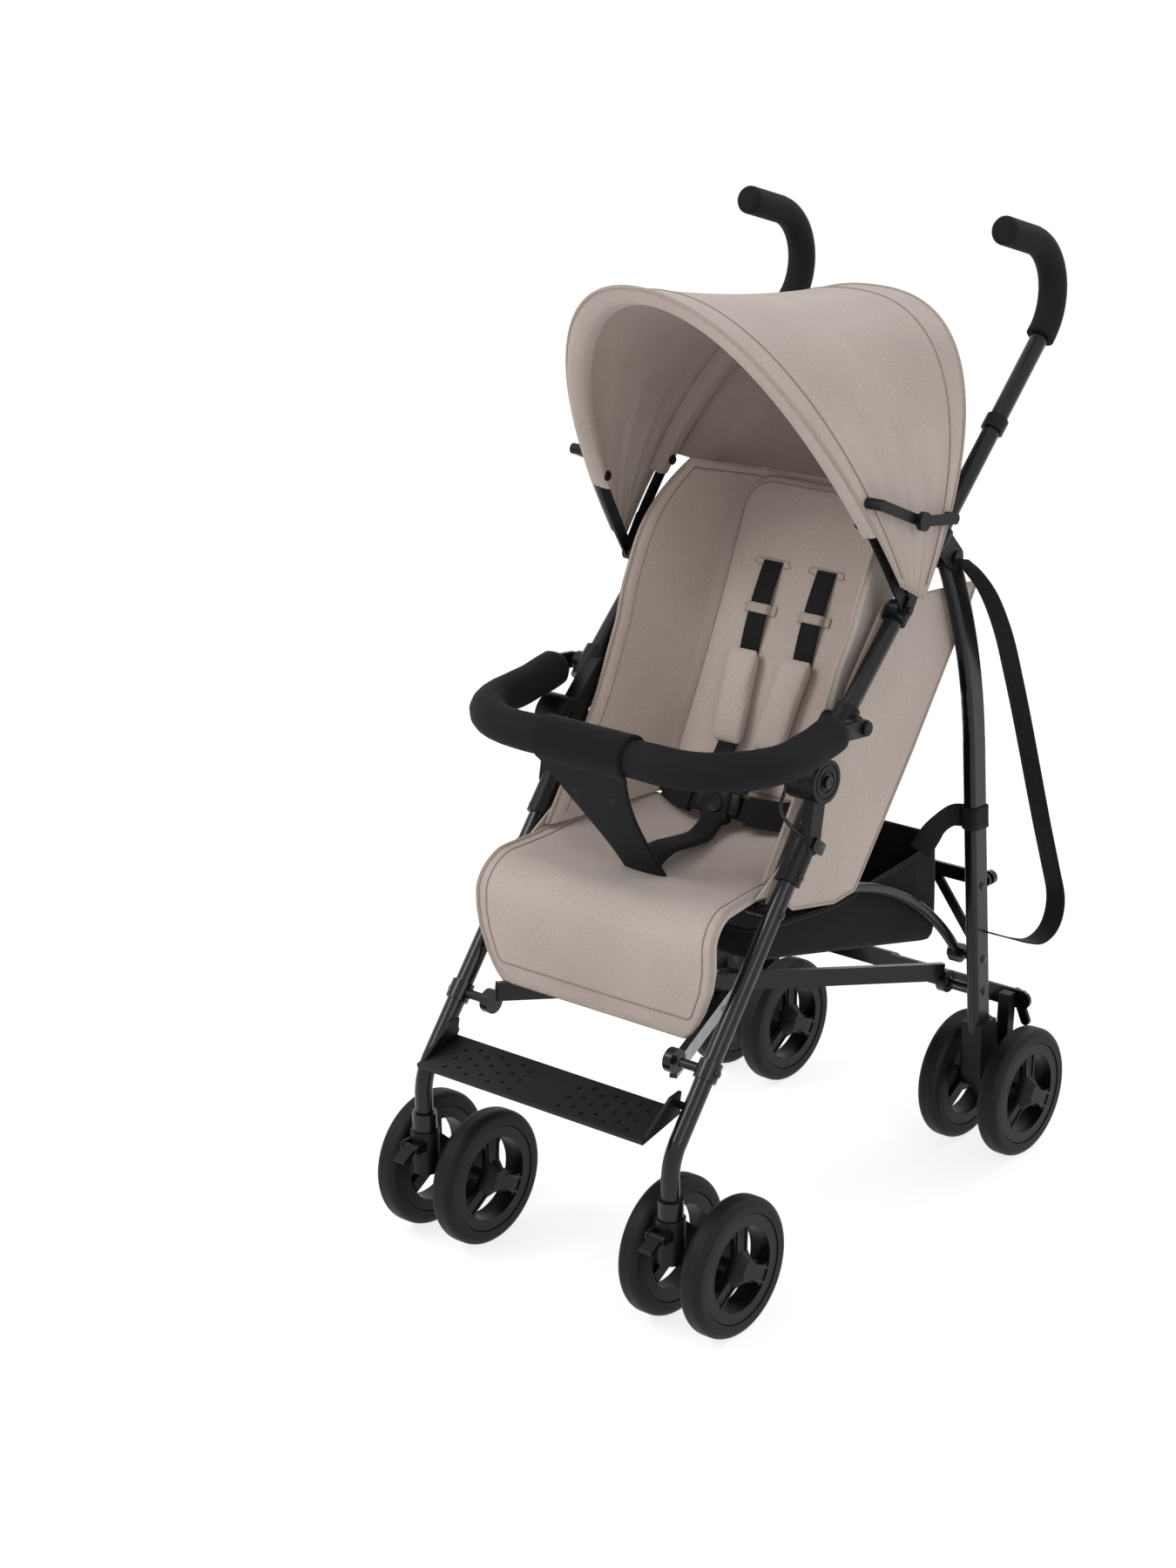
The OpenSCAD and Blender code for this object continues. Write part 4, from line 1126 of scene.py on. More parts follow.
@dataclass
class Chassis:
    """Tubes, hinges, wheels and fittings: the frame's own nodes, with small fasteners added.

    Attributes:
        frame: The loaded frame.
        wheel_r: Radius of the wheels.
        wheel_y: Half the wheel base.
        pair_half: Half the distance between the wheels of a pair.
    """

    frame: dict
    wheel_r: float = 0.075
    wheel_y: float = 0.2675
    pair_half: float = 0.040

    def finish_of(self, node: str) -> Finish:
        """Returns the finish of a node by its name."""
        if "tyres" in node:
            return EVA
        if "grip" in node:
            return FOAM
        if "axle" in node:
            return ZINC
        painted = ("rear_leg", "handle_tube", "front_leg", "seat_rail", "cross_bar", "brace_link", "brake_bar")
        return POWDER_COAT if node.startswith(painted) else MOULDED

    def dress(self) -> None:
        """Gives every node its finish."""
        for name, node in self.frame["nodes"].items():
            finish = self.finish_of(name)
            node.data.materials.clear()
            node.data.materials.append(finish.material())
            node.data.polygons.foreach_set("material_index", [0] * len(node.data.polygons))
            LOG.info("%s in %s", name, finish.name)

    def on_front(self, z: float) -> Pair:
        """Returns the front leg's axis as (y, z) at a height."""
        knee, foot = (-0.089, 0.484), (-0.3175, 0.200)
        return knee[0] + (foot[0] - knee[0]) * (knee[1] - z) / (knee[1] - foot[1]), z

    def on_rear(self, z: float) -> Pair:
        """Returns the rear leg's axis as (y, z) at a height."""
        foot, lean = (0.2425, 0.100), math.radians(4)
        return foot[0] - (z - foot[1]) * math.tan(lean), z

    def fasteners(self) -> None:
        """Adds rivets and bolt heads, which move with the piece that they hold."""
        dome = [(TIP, 0.0), (0.0046, 0.0), (0.0046, 0.0007), (0.0037, 0.0019), (0.0018, 0.0026), (TIP, 0.0027)]
        bolt = [(TIP, 0.0), (0.0062, 0.0), (0.0066, 0.0008), (0.0062, 0.0030), (0.0044, 0.0036), (0.0034, 0.0026)]
        bolt += [(TIP, 0.0026)]
        tube_face, collar_face, sleeve_face, disc_face, leg_face = 0.1774, 0.1803, 0.1812, 0.1868, 0.1754
        for side, name in SIDES:
            spots = {
                f"front_leg_{name}": [
                    (dome, tube_face, self.on_front(0.412)),
                    (dome, collar_face, self.on_front(0.276)),
                    (dome, sleeve_face, (-0.120, 0.4455)),
                    (bolt, disc_face, PLANE.hinge),
                ],
                f"rear_frame_{name}": [(dome, leg_face, self.on_rear(z)) for z in (0.240, 0.200, 0.330)],
            }
            for body, heads in spots.items():
                made = [lathe("head", shape, (side * x, *yz), (side, 0, 0), 20) for shape, x, yz in heads]
                place(merge(f"rivets_{body}", made), POWDER_COAT, body)

    def spun(self, r: float, h: float, turn: float, y: float) -> Pair:
        """Returns the point r along a spoke and h across it, as (y, z), in a wheel with its axle at y."""
        c, s = math.cos(turn), math.sin(turn)
        return y + r * c - h * s, self.wheel_r + r * s + h * c

    def wheel_face(self, x: float, y: float, out: int) -> list[Piece]:
        """Makes the free face of one wheel.

        Args:
            x: Middle of the wheel.
            y: Its axle.
            out: 1 if the face looks to +X, else -1.

        Returns:
            The ribs, the spokes and the three-cornered hub cap.
        """
        edge = [(0.019, -0.0100), (0.026, -0.0088), (0.036, -0.0095), (0.0455, -0.0140)]
        spoke = [*edge, (0.0476, 0.0), *[(r, -h) for r, h in edge[::-1]]]
        notch, rib_off, rib_r = 0.0170, 0.0066, 0.0012
        rib_faces = x + out * 0.0110, x + out * 0.0130
        spoke_faces = x + out * 0.0070, x + out * 0.0116
        made, star = [], []
        for a in (math.radians(d) for d in (90, 210, 330)):
            star += [self.spun(r, h, a, y) for r, h in spoke] + [self.spun(notch, 0.0, a + math.pi / 3, y)]
            for h in (-rib_off, rib_off):
                ends = [np.array(self.spun(r, h * k, a, y)) for r, k in ((0.020, 1.0), (0.0450, 1.2))]
                made.append(plate("rib", capsule(*ends, rib_r), *rib_faces, 0.0004))
        made.append(plate("spokes", star, *spoke_faces, 0.0008))
        # Each level of the cap has its distance out, its radius and how much its corners stand out.
        levels = [(0.0112, 0.0178, 0.18), (0.0130, 0.0172, 0.18), (0.0205, 0.0116, 0.14), (0.0220, 0.0104, 0.13)]
        turns = np.linspace(0, 2 * math.pi, 48, endpoint=False)
        cap = [
            [(x + out * d, *self.spun(r * (1 + k * math.sin(-3 * t)), 0.0, t, y)) for t in turns]
            for d, r, k in levels
        ]
        return [*made, crease(loft("cap", np.array(cap)), 40)]

    def wheel_faces(self) -> None:
        """Adds the spokes and hub caps, which turn with their wheels."""
        for where, y in (("front", -self.wheel_y), ("rear", self.wheel_y)):
            for side, name in SIDES:
                made = []
                for out in (1, -1):
                    made += self.wheel_face(side * HALF + out * self.pair_half, y, out)
                place(merge(f"wheel_faces_{where}_{name}", made), MOULDED, f"{where}_wheels_{name}")

    def hinge_wires(self) -> None:
        """Adds the bent wire and clip below each disc hinge."""
        for side, name in SIDES:
            bends = array(
                [(0.1505, -0.094, 0.548), (0.1500, -0.105, 0.530), (0.1500, -0.1133, 0.511), (0.160, -0.1115, 0.496)]
                + [(0.172, -0.103, 0.483), (0.1815, -0.092, 0.474)]
            ) * (side, 1, 1)
            wire = tube("wire", resample(bends, 0.003), 0.0021, 10)
            centre, along, out = (side * 0.1825, -0.092, 0.4715), (0, 0.627, 0.779), (0, 0.779, -0.627)
            clip = slab("clip", centre, along, out, (0.014, 0.020, 0.005), 0.003, 0.0012)
            place(merge(f"hinge_wire_{name}", [wire, clip]), POWDER_COAT, f"front_leg_{name}")

    def leg_loops(self) -> None:
        """Adds the webbing loop round each rear leg and the short strap that leaves it."""
        for side, name in SIDES:
            y, z = self.on_rear(0.412)
            ring = [(side * HALF + px, y + py, z - 0.07 * py) for px, py in rounded(0.0182, 0.0312, 0.0058, 6, 6)]
            loop = ribbon("loop", np.vstack([array(ring), array(ring[:3])]), (0, -0.07, 1), 0.026, 0.0016)
            strap = array(
                [(side * 0.158, y - 0.006, z + 0.001), (side * 0.152, y - 0.024, z + 0.004)]
                + [(side * 0.146, y - 0.046, z - 0.006), (side * 0.1375, y - 0.062, z - 0.030)]
            )
            tie = ribbon("tie", resample(strap, 0.004), (0, 0.35, 0.94), WEBBING_WIDTH, 0.0016)
            place(merge(f"leg_loop_{name}", [loop, tie]), WEBBING, f"rear_frame_{name}")

    def build(self) -> None:
        """Dresses the nodes and adds the small pieces on them."""
        self.dress()
        self.fasteners()
        self.wheel_faces()
        self.hinge_wires()
        self.leg_loops()


# ---------------------------------------------------------------- canopy


@dataclass
class Canopy:
    """Two bows with a cloth stretched between them, a back cloth, and the stays that hold it open.

    Attributes:
        frame: The loaded frame.
        front_lean: Lean of the front edge, in degrees forward.
        rear_lean: Lean of the rear edge.
        back_lean: Lean of the back cloth's lower edge.
        front_h: Height of the front edge above the pivot.
        rear_h: Height over the rear bow.
        half: Half the width at the front.
        front_dome: Power of the front arch, which is nearly round.
        rear_dome: Power of the rear arch, which has squarer shoulders.
        back_dome: Power of the back cloth's lower edge.
        split: Where the hood's front half, which folds back, meets its rear half.
        flare: How much wider each side is at the rear bow.
        pleat: Height of the soft pleats that gather to the pivots.
        crimp: Height of the finer ones among them.
        dip: How far the hood hangs between its bows.
        back_h: Height of the back cloth's lower edge from the pivot.
        back_half: Half the width of the back cloth at the rear bow, and further down.
    """

    frame: dict
    front_lean: float = 31.5
    rear_lean: float = -35.0
    back_lean: float = -84.0
    front_h: float = 0.404
    rear_h: float = 0.350
    half: float = 0.193
    front_dome: float = 0.95
    rear_dome: float = 0.85
    back_dome: float = 0.75
    split: float = 0.52
    flare: float = 0.007
    pleat: float = 0.0024
    crimp: float = 0.0008
    dip: float = 0.009
    back_h: float = 0.190
    back_half: Pair = (0.199, 0.1465)

    def arch(self, a: float, h: float, degrees: float, lean: float, dome: float) -> Triple:
        """Gives a point of an arch over the pivot.

        Args:
            a: Half its width.
            h: Its height.
            degrees: Angle round it, from 0 at the left to 180 at the right.
            lean: Its lean forward, in degrees.
            dome: Power of its curve.

        Returns:
            The point.
        """
        c, s = math.cos(math.radians(degrees)), max(0.0, math.sin(math.radians(degrees)))
        up = h * s**dome
        y, z = PLANE.canopy_pivot
        tilt = math.radians(lean)
        return math.copysign(a * abs(c) ** dome, c), y - up * math.sin(tilt), z + up * math.cos(tilt)

    def hood(self, v: float, u: float, foot: Pair = (4.5, 1.5), sink: float = 0.0) -> Triple:
        """Gives a point of the hood.

        Args:
            v: Share of the way from the front edge to the rear edge.
            u: Share of the way round from left to right.
            foot: Angles at which the cloth ends above the pivot, at the front and at the rear.
            sink: How far inside the outer face the point lies.

        Returns:
            The point.
        """
        front = foot[0] + (180 - 2 * foot[0]) * u
        rear = foot[1] + (180 - 2 * foot[1]) * u
        p = self.arch(self.half - sink, self.front_h - sink, front, self.front_lean, self.front_dome)
        q = self.arch(self.half + self.flare - sink, self.rear_h - sink, rear, self.rear_lean, self.rear_dome)
        c, s = math.cos(math.pi * u), max(0.0, math.sin(math.pi * u))
        pleat = self.pleat * math.sin(math.radians(1080 * v)) * abs(c) ** 5
        pleat += self.crimp * math.sin(math.radians(2520 * v + 40)) * abs(c) ** 9
        dip = self.dip * math.sin(math.pi * v) * s**0.5
        x, y, z = (a + (b - a) * v for a, b in zip(p, q))
        return x + math.copysign(pleat, c), y, z - dip

    def back(self, v: float, u: float, out: float = 0.0) -> Triple:
        """Gives a point of the back cloth.

        Args:
            v: Share of the way from the rear bow down.
            u: Share of the way round from left to right.
            out: How far outside its face the point lies.

        Returns:
            The point.
        """
        foot = 17 + 7 * v
        t = foot + (180 - 2 * foot) * u
        h = self.rear_h + (self.back_h - self.rear_h) * v - 0.004 * math.sin(math.pi * v) + out
        top, low = self.back_half
        half = top + (low - top) * min(1.0, v / 0.25) + out
        dome = self.rear_dome + (self.back_dome - self.rear_dome) * min(1.0, v / 0.35)
        return self.arch(half, h, t, self.rear_lean - 0.3 + (self.back_lean - self.rear_lean) * v, dome)

    def sleeve(self, name: str, section: list[Pair], body: str) -> None:
        """Makes the turned strip that a bow runs in.

        Args:
            name: Its name.
            section: Its section, as shares of the way from front to rear and depths inside the hood.
            body: Body that it moves with.
        """
        run = np.linspace(0, 1, len(section))
        shares, depths = zip(*section)

        def at(v: float, u: float) -> Triple:
            """Returns a point of the strip, which stands out further round the bow's ends."""
            where, depth = float(np.interp(v, run, shares)), float(np.interp(v, run, depths))
            past = min(where, 0.0) + max(where - 1, 0.0)
            where += past * (3.1 * abs(math.cos(math.pi * u)) ** 4 - 0.7)
            return self.hood(where, u, (14.0, 14.0), depth)

        strip = patch(name, at, 27, 96, 0.0014)
        place(strip, TAUPE, body, folds=True)
        declare(at)

    def half_hood(self, name: str, body: str, edge: float, row: float, nodes: list[str], section: list[Pair]) -> None:
        """Makes one half of the hood with its sleeve, piping and stitches.

        Args:
            name: "front" or "rear".
            body: Body that it moves with.
            edge: Where its free edge lies, as a share of the way from front to rear.
            row: Where its stitches lie.
            nodes: Nodes that it stands for.
            section: Section of its sleeve.
        """
        low, high = min(edge, self.split), max(edge, self.split)

        def at(v: float, u: float) -> Triple:
            """Returns a point of this half of the hood."""
            return self.hood(low + (high - low) * v, 1 - u)

        hood = patch(f"canopy_cloth_{name}", at, 24, 108, CANOPY_CLOTH)
        place(hood, TAUPE, body, nodes, True)
        declare(at)
        self.sleeve(f"canopy_sleeve_{name}", section, body)
        beads = [tube("edge", array(self.hood(edge, u) for u in np.linspace(0, 1, 109)), 0.0019, BEAD)]
        for u in (0.0, 1.0):
            line = array(self.hood(low + (high - low) * v, u) for v in np.linspace(0, 1, 25))
            beads.append(tube("edge", line, 0.0016, BEAD))
        place(merge(f"canopy_piping_{name}", beads), PIPING_PAINTED_SHADE, body, folds=True)
        line = array(self.hood(row, u, sink=-0.0003) for u in np.linspace(0.01, 0.99, 141))
        place(seam(f"canopy_stitches_{name}", [line]), THREAD, body, folds=True)

    def cloths(self) -> None:
        """Makes the hood, its sleeves and piping, and the back cloth."""
        front = [(0.0, 0.0005), (-0.010, 0.004), (-0.014, 0.010), (-0.012, 0.017), (-0.004, 0.0212)]
        front += [(0.015, 0.0222), (0.045, 0.0218), (0.075, 0.0170), (0.100, 0.0090), (0.118, 0.0030)]
        rear = [(0.868, 0.003), (0.880, 0.011), (0.898, 0.0185), (0.925, 0.0215), (0.985, 0.0215)]
        rear += [(1.004, 0.018), (1.012, 0.010), (1.004, 0.003)]
        self.half_hood("front", "canopy_front", 0.0, 0.112, ["canopy_hood"], front)
        self.half_hood("rear", "handle_right", 1.0, 0.895, [], rear)
        back = patch("canopy_back_cloth", lambda v, u: self.back(v, 1 - u), 24, 84, CANOPY_CLOTH)
        place(back, TAUPE, "handle_right", ["canopy_back"], True)
        declare(self.back)
        tab = patch("canopy_tab", lambda v, u: self.back(0.40 + 0.22 * v, 0.012 + 0.05 * u, 0.0016), 8, 10, 0.0012)
        place(tab, BLACK, "handle_right", folds=True)

    def studs(self) -> None:
        """Adds the press studs that hold the sleeves on the bows."""
        stud = [(TIP, 0), (0.0058, 0), (0.0058, 0.0008), (0.0045, 0.0022), (0.0022, 0.0028), (TIP, 0.0024)]
        for name, body, v, sink in (("front", "canopy_front", 0.028, 0.0226), ("rear", "handle_right", 0.968, 0.0220)):
            x, y, z = self.hood(v, 0.0, (17.0, 17.0), sink)
            made = [lathe("stud", stud, (side * x, y, z), (-side, 0, 0), 18) for side in (1, -1)]
            place(merge(f"canopy_studs_{name}", made), MOULDED, body, folds=True)

    def ribs(self) -> None:
        """Makes the bows and the stays, which close up with the fold."""
        rides = {
            "canopy_front_bow": "canopy_front",
            "canopy_rear_bow": "handle_right",
            "canopy_stays_front": "canopy_stays_front",
            "canopy_stays_rear": "canopy_stays_rear",
        }
        for node, body in rides.items():
            place(twin(self.frame, node, node + "_strip"), MOULDED, body, [node], True)

    def build(self) -> None:
        """Makes the whole canopy."""
        self.ribs()
        self.cloths()
        self.studs()


# ---------------------------------------------------------------- seat


@dataclass
class Seat:
    """Sling backrest with side wings, a padded centre, side panels, and a seat that ends in an apron.

    Attributes:
        foot: Lower end of the backrest, as (y, z).
        rise: Length of the backrest.
        recline: Its lean from the upright, in degrees.
        pad_half: Half the width of the padded centre.
        half: Half the width over the wings.
        edge: Where the seat turns down into its apron, as a share of the way.
        reach: How far forward the wings come, how much further at the foot, and how much less at the top.
    """

    foot: Pair = (0.015, 0.440)
    rise: float = 0.372
    recline: float = 25.5
    pad_half: float = 0.108
    half: float = 0.150
    edge: float = 0.58
    reach: Triple = (0.110, 0.042, 0.034)

    def back_at(self, t: float) -> Pair:
        """Returns the backrest's middle as (y, z) at t from foot to top."""
        s, c = math.sin(math.radians(self.recline)), math.cos(math.radians(self.recline))
        return self.foot[0] + t * self.rise * s, self.foot[1] + t * self.rise * c

    def wing(self, x: float, t: float) -> float:
        """Returns how far forward the wing has turned at x, for a height t."""
        e = min(1.0, max(0.0, (abs(x) - self.pad_half) / (self.half - self.pad_half)))
        middle, foot, top = self.reach
        reach = middle + foot * max(0.0, 1 - t / 0.3) ** 1.3 - top * (max(0.0, t - 0.7) / 0.3) ** 2
        return reach * e * e * (3 - 2 * e)

    def shell(self, t: float, u: float) -> Triple:
        """Gives a point of the sling's front face.

        Args:
            t: Share of the way up.
            u: Share of the way across, from left to right.

        Returns:
            The point.
        """
        squeeze = 1 - 0.12 * (max(0.0, t - 0.75) / 0.25) ** 2 - 0.03 * min(1.0, max(0.0, (0.6 - t) / 0.1))
        lift = 0.25 * min(1.0, t / 0.3) - 0.035 * max(0.0, 1 - t / 0.3)
        x = self.half * (1 - 2 * u)
        y, z = self.back_at(t)
        forward = self.wing(x, t)
        return x * squeeze, y - forward, z + 0.001 * (1 - t) + lift * forward

    def pad_ring(self, size: float, out: float) -> list[Triple]:
        """Gives a ring of the padded centre.

        Args:
            size: Its size against the pad's outline.
            out: How far it stands in front of the backrest.

        Returns:
            The ring's points.
        """
        lean = math.radians(self.recline)
        ring = []
        for px, ph in rounded(0.204, 0.350, 0.034, 8, 14):
            pinch = 1 - 0.035 * math.cos(math.pi * ph / 0.35)
            y, z = self.back_at(0.5 + 0.012 + ph * size / self.rise)
            ring.append((px * size * pinch, y - out * math.cos(lean), z + out * math.sin(lean)))
        return ring

    def backrest(self) -> None:
        """Makes the sling, its padded centre, piping and stitches."""
        sling = patch("backrest_sling", lambda t, u: self.shell(t, 1 - u), 44, 84, 0.0075)
        place(sling, TAUPE, "backrest", ["seat_back"], True)
        steps = [(0.975, -0.002), (0.995, 0.0012), (1.0, 0.0040), (0.99, 0.0066), (0.965, 0.0086)]
        steps += [(0.91, 0.0102), (0.75, 0.0114), (0.4, 0.0118), (0.08, 0.0119)]
        rings = [self.pad_ring(size, out) for size, out in steps]
        pad = loft("backrest_pad", np.array(rings))
        set_weave(pad, lambda p: (p.x, p.z / math.cos(math.radians(self.recline))))
        place(pad, TAUPE, "backrest", folds=True)
        foot = self.pad_ring(1.0, 0.0012)
        rim = tube("rim", border(self.shell, 45, 85), 0.0024, BEAD)
        bead = [rim, tube("seam", array([*foot, foot[0]]), 0.0018, BEAD)]
        place(merge("backrest_piping", bead), PIPING_PAINTED_SHADE, "backrest", folds=True)
        inner = self.pad_ring(0.955, 0.0091)
        rows = [array([*inner, inner[0]])]
        rows += [array(self.shell(t, u) for t in np.linspace(0.02, 0.98, 60)) for u in (0.028, 0.972)]
        rows.append(array(self.shell(0.975, u) for u in np.linspace(0.03, 0.97, 80)))
        place(seam("backrest_stitches", rows), THREAD, "backrest", folds=True)
        declare(self.shell)

    def seat_path(self, t: float) -> Pair:
        """Returns the seat's middle as (y, z), from its rear edge over the front to the apron's hem."""
        if t < self.edge:
            return 0.012 - 0.212 * t / self.edge, 0.438 - 0.0105 * t / self.edge
        e = (t - self.edge) / (1 - self.edge)
        return -0.200 - 0.036 * math.sin(math.pi / 2 * min(1, 2.2 * e)), 0.4275 - 0.133 * e**1.5

    def base(self, t: float, u: float, out: float = 0.0) -> Triple:
        """Gives a point of the seat's upper face.

        Args:
            t: Share of the way from the rear edge to the apron's hem.
            u: Share of the way across, from left to right.
            out: How far above the face the point lies.

        Returns:
            The point.
        """
        across = 1 - 2 * u
        y, z = self.seat_path(t)
        y2, z2 = self.seat_path(min(1.0, t + 0.01))
        y1, z1 = self.seat_path(max(0.0, t - 0.01))
        run = math.hypot(y2 - y1, z2 - z1)
        dip = 0.013 * (1 - across**2) * math.sin(math.pi * min(1.0, t / self.edge * 0.9))
        stops = [0, 0.45, self.edge, 0.76, 0.82, 0.88, 0.94, 0.98, 1.0]
        half = float(np.interp(t, stops, [0.147, 0.147, 0.151, 0.157, 0.157, 0.153, 0.143, 0.132, 0.122]))
        swell = out + 0.003 * (1 - across**2) * math.sin(math.pi * max(0.0, (t - 0.6) / 0.4))
        return half * across, y + swell * (z2 - z1) / run, z - dip - swell * (y2 - y1) / run

    def cushion(self) -> None:
        """Makes the seat and its apron with piping."""
        seat = patch("seat_cushion", self.base, 80, 64, 0.0085)
        place(seat, TAUPE, "seat_rail_right", ["seat_base"], True)
        place(tube("seat_piping", border(self.base, 65, 65), 0.0024, BEAD), PIPING_PAINTED_SHADE, "seat_rail_right", folds=True)
        row = [self.base(t, 0.038, 0.0002) for t in np.linspace(0.25, 0.955, 70)]
        row += [self.base(0.957, u, 0.0002) for u in np.linspace(0.05, 0.95, 60)]
        row += [self.base(t, 0.962, 0.0002) for t in np.linspace(0.955, 0.25, 70)]
        place(seam("seat_stitches", [array(row)]), THREAD, "seat_rail_right", folds=True)

    def panel(self, v: float, u: float, side: int) -> Triple:
        """Gives a point of a side panel.

        Args:
            v: Share of the way from its lower front corner to its top.
            u: Share of the way from its front edge to its rear edge.
            side: 1 for the left, -1 for the right.

        Returns:
            The point.
        """
        stops = np.linspace(0, 1, 7)
        front = [(-0.158, 0.427), (-0.118, 0.450), (-0.080, 0.490), (-0.048, 0.520), (-0.018, 0.575), (-0.005, 0.612)]
        rear = [(-0.125, 0.421), (-0.097, 0.398), (-0.025, 0.383), (0.012, 0.386), (0.115, 0.515), (0.216, 0.650)]
        a, b = np.array([*front, (0.060, 0.690)]), np.array([*rear, (0.232, 0.676)])
        f = [np.interp(v, stops, a[:, k]) for k in (0, 1)]
        r = [np.interp(v, stops, b[:, k]) for k in (0, 1)]
        soft = 0.0035 * math.sin(math.pi * u) * math.sin(math.pi * v)
        return side * (0.1541 - soft), f[0] + (r[0] - f[0]) * u, f[1] + (r[1] - f[1]) * u

    def panels(self) -> None:
        """Makes the side panels with bound edges."""
        span = np.linspace(0, 1, 61)
        binding = []
        for side, name in SIDES:
            cloth = patch(f"seat_side_panel_{name}", partial(self.panel_out, side), 60, 16, HEAVY_CLOTH)
            place(cloth, TAUPE, "backrest", folds=True)
            declare(partial(self.panel_out, side))
            edge = [self.panel(v, 1.0, side) for v in span] + [self.panel(1.0, u, side) for u in span[::-4]]
            binding.append(tube("edge", resample(array(edge), 0.006), 0.0018, BEAD))
        place(merge("seat_side_binding", binding), PIPING_PAINTED_SHADE, "backrest", folds=True)

    def panel_out(self, side: int, v: float, u: float) -> Triple:
        """Returns a point of a side panel, taken in the order that faces its outer side out."""
        return self.panel(v, u if side > 0 else 1 - u, side)

    def build(self) -> None:
        """Makes the seat, the side panels and the backrest."""
        self.cushion()
        self.panels()
        self.backrest()


# ---------------------------------------------------------------- bumper


@dataclass
class Bumper:
    """Foam bar on a bent tube, with the cloth panel that runs from it down to the seat.

    Attributes:
        reach: Half the distance between the arms.
        front: Y of the bar's front run.
        height: Z of the bar's front run.
        rise: How much higher its arms end.
        corner: Radius of its bends.
        arm_end: Y where the foam ends.
        radius: Radius of the foam.
        pivot: Pin that each arm plugs on, as (y, z).
        low: Foot of the panel, as (y, z).
        turned: Share of the panel that goes round the bar.
    """

    reach: float = 0.186
    front: float = -0.2358
    height: float = 0.5790
    rise: float = 0.0113
    corner: float = 0.090
    arm_end: float = -0.0668
    radius: float = 0.020
    pivot: Pair = (-0.0328, 0.5863)
    low: Pair = (-0.150, 0.420)
    turned: float = 0.45

    def centreline(self) -> np.ndarray:
        """Returns points along the bar from its left arm to its right one."""
        bend = [math.radians(d) for d in range(0, 91, 10)]
        x0, y0 = self.reach - self.corner, self.front + self.corner
        half = [
            (self.reach, self.arm_end + (y0 - self.arm_end) * e, self.height + self.rise * (1 - e) ** 1.5)
            for e in np.linspace(0, 1, 12)[:-1]
        ]
        half += [(x0 + self.corner * math.cos(t), y0 - self.corner * math.sin(t), self.height) for t in bend]
        half += [(x, self.front, self.height) for x in np.linspace(x0, 0, 12)[1:]]
        return array(half + [(-x, y, z) for x, y, z in reversed(half[:-1])])

    def bar(self) -> None:
        """Makes the foam and the tongues at its ends."""
        path = self.centreline()
        total = lengths(path)[-1]

        def girth(share: float) -> float:
            """Returns the foam's radius, pulled in where it ends."""
            inside = min(share, 1 - share) * total
            return self.radius * (1 - 0.22 * math.exp(-inside / 0.0025)) + 0.0003 * math.sin(share * 61)

        place(tube("bumper_foam", path, girth, 28), FOAM, "bumper", ["bumper_bar"], True)
        a, b = np.array((self.arm_end - 0.002, self.height + self.rise)), np.array(self.pivot)
        outline = capsule(a, b, 0.009)
        cap = [(TIP, 0.0), (0.0078, 0.0), (0.0078, 0.0022), (0.0062, 0.0034), (TIP, 0.0036)]
        tongues = []
        for side in (1, -1):
            inner, outer = side * (self.reach + 0.007), side * (self.reach + 0.013)
            tongues.append(plate("tongue", outline, inner, outer, 0.001))
            tongues.append(lathe("cap", cap, (outer, *self.pivot), (side, 0, 0)))
        place(merge("bumper_tongues", tongues), MOULDED, "bumper", folds=True)

    def wrap(self, v: float, u: float, out: float = 0.0) -> Triple:
        """Gives a point of the panel, which goes round the bar and then down.

        Args:
            v: Share of the way from the sleeve's rear edge to the panel's foot.
            u: Share of the way across, from left to right.
            out: How far outside its face the point lies.

        Returns:
            The point.
        """
        r = self.radius + 0.0016 + out
        start, leave = math.radians(-62), math.radians(238)
        if v < self.turned:
            turn = start + (leave - start) * v / self.turned
            y, z = self.front + r * math.cos(turn), self.height + r * math.sin(turn)
            half = 0.056
        else:
            t = (v - self.turned) / (1 - self.turned)
            y0, z0 = self.front + r * math.cos(leave), self.height + r * math.sin(leave)
            y = y0 + t * (self.low[0] - y0) - 0.006 * math.sin(math.pi * t) * (1 - t)
            z = z0 + t * (self.low[1] - z0)
            half = 0.026 + 0.030 * (1 - t) ** 2
        across = 1 - 2 * u
        return across * half, y + 0.004 * (across**2) * max(0.0, v - self.turned), z

    def panel(self) -> None:
        """Makes the panel with its bound edges, stitches and press studs."""
        cloth = patch("crotch_cloth", lambda v, u: self.wrap(v, 1 - u), 56, 24, HEAVY_CLOTH)
        place(cloth, BLACK, "bumper", ["crotch_panel"], True)
        declare(self.wrap)
        spans = np.linspace(0.0, 1.0, 57)
        edges = [tube("edge", array(self.wrap(v, u) for v in spans), 0.0019, BEAD) for u in (0.0, 1.0)]
        edges.append(tube("edge", array(self.wrap(0.0, u) for u in np.linspace(0, 1, 25)), 0.0017, BEAD))
        place(merge("crotch_binding", edges), BLACK, "bumper", folds=True)
        rows = [array(self.wrap(v, u, 0.0003) for v in spans) for u in (0.1, 0.9)]
        rows.append(array(self.wrap(0.47, u, 0.0003) for u in np.linspace(0.1, 0.9, 20)))
        place(stitches("crotch_stitches", rows), DARK_THREAD, "bumper", folds=True)
        stud = [(TIP, 0), (0.006, 0), (0.006, 0.001), (0.0046, 0.0022), (TIP, 0.0026)]
        studs = [lathe("stud", stud, self.wrap(0.58, u), (0, -0.93, -0.36)) for u in (0.22, 0.78)]
        place(merge("crotch_studs", studs), MOULDED, "bumper", folds=True)

    def build(self) -> None:
        """Makes the bar and its panel."""
        self.bar()
        self.panel()


# ---------------------------------------------------------------- harness


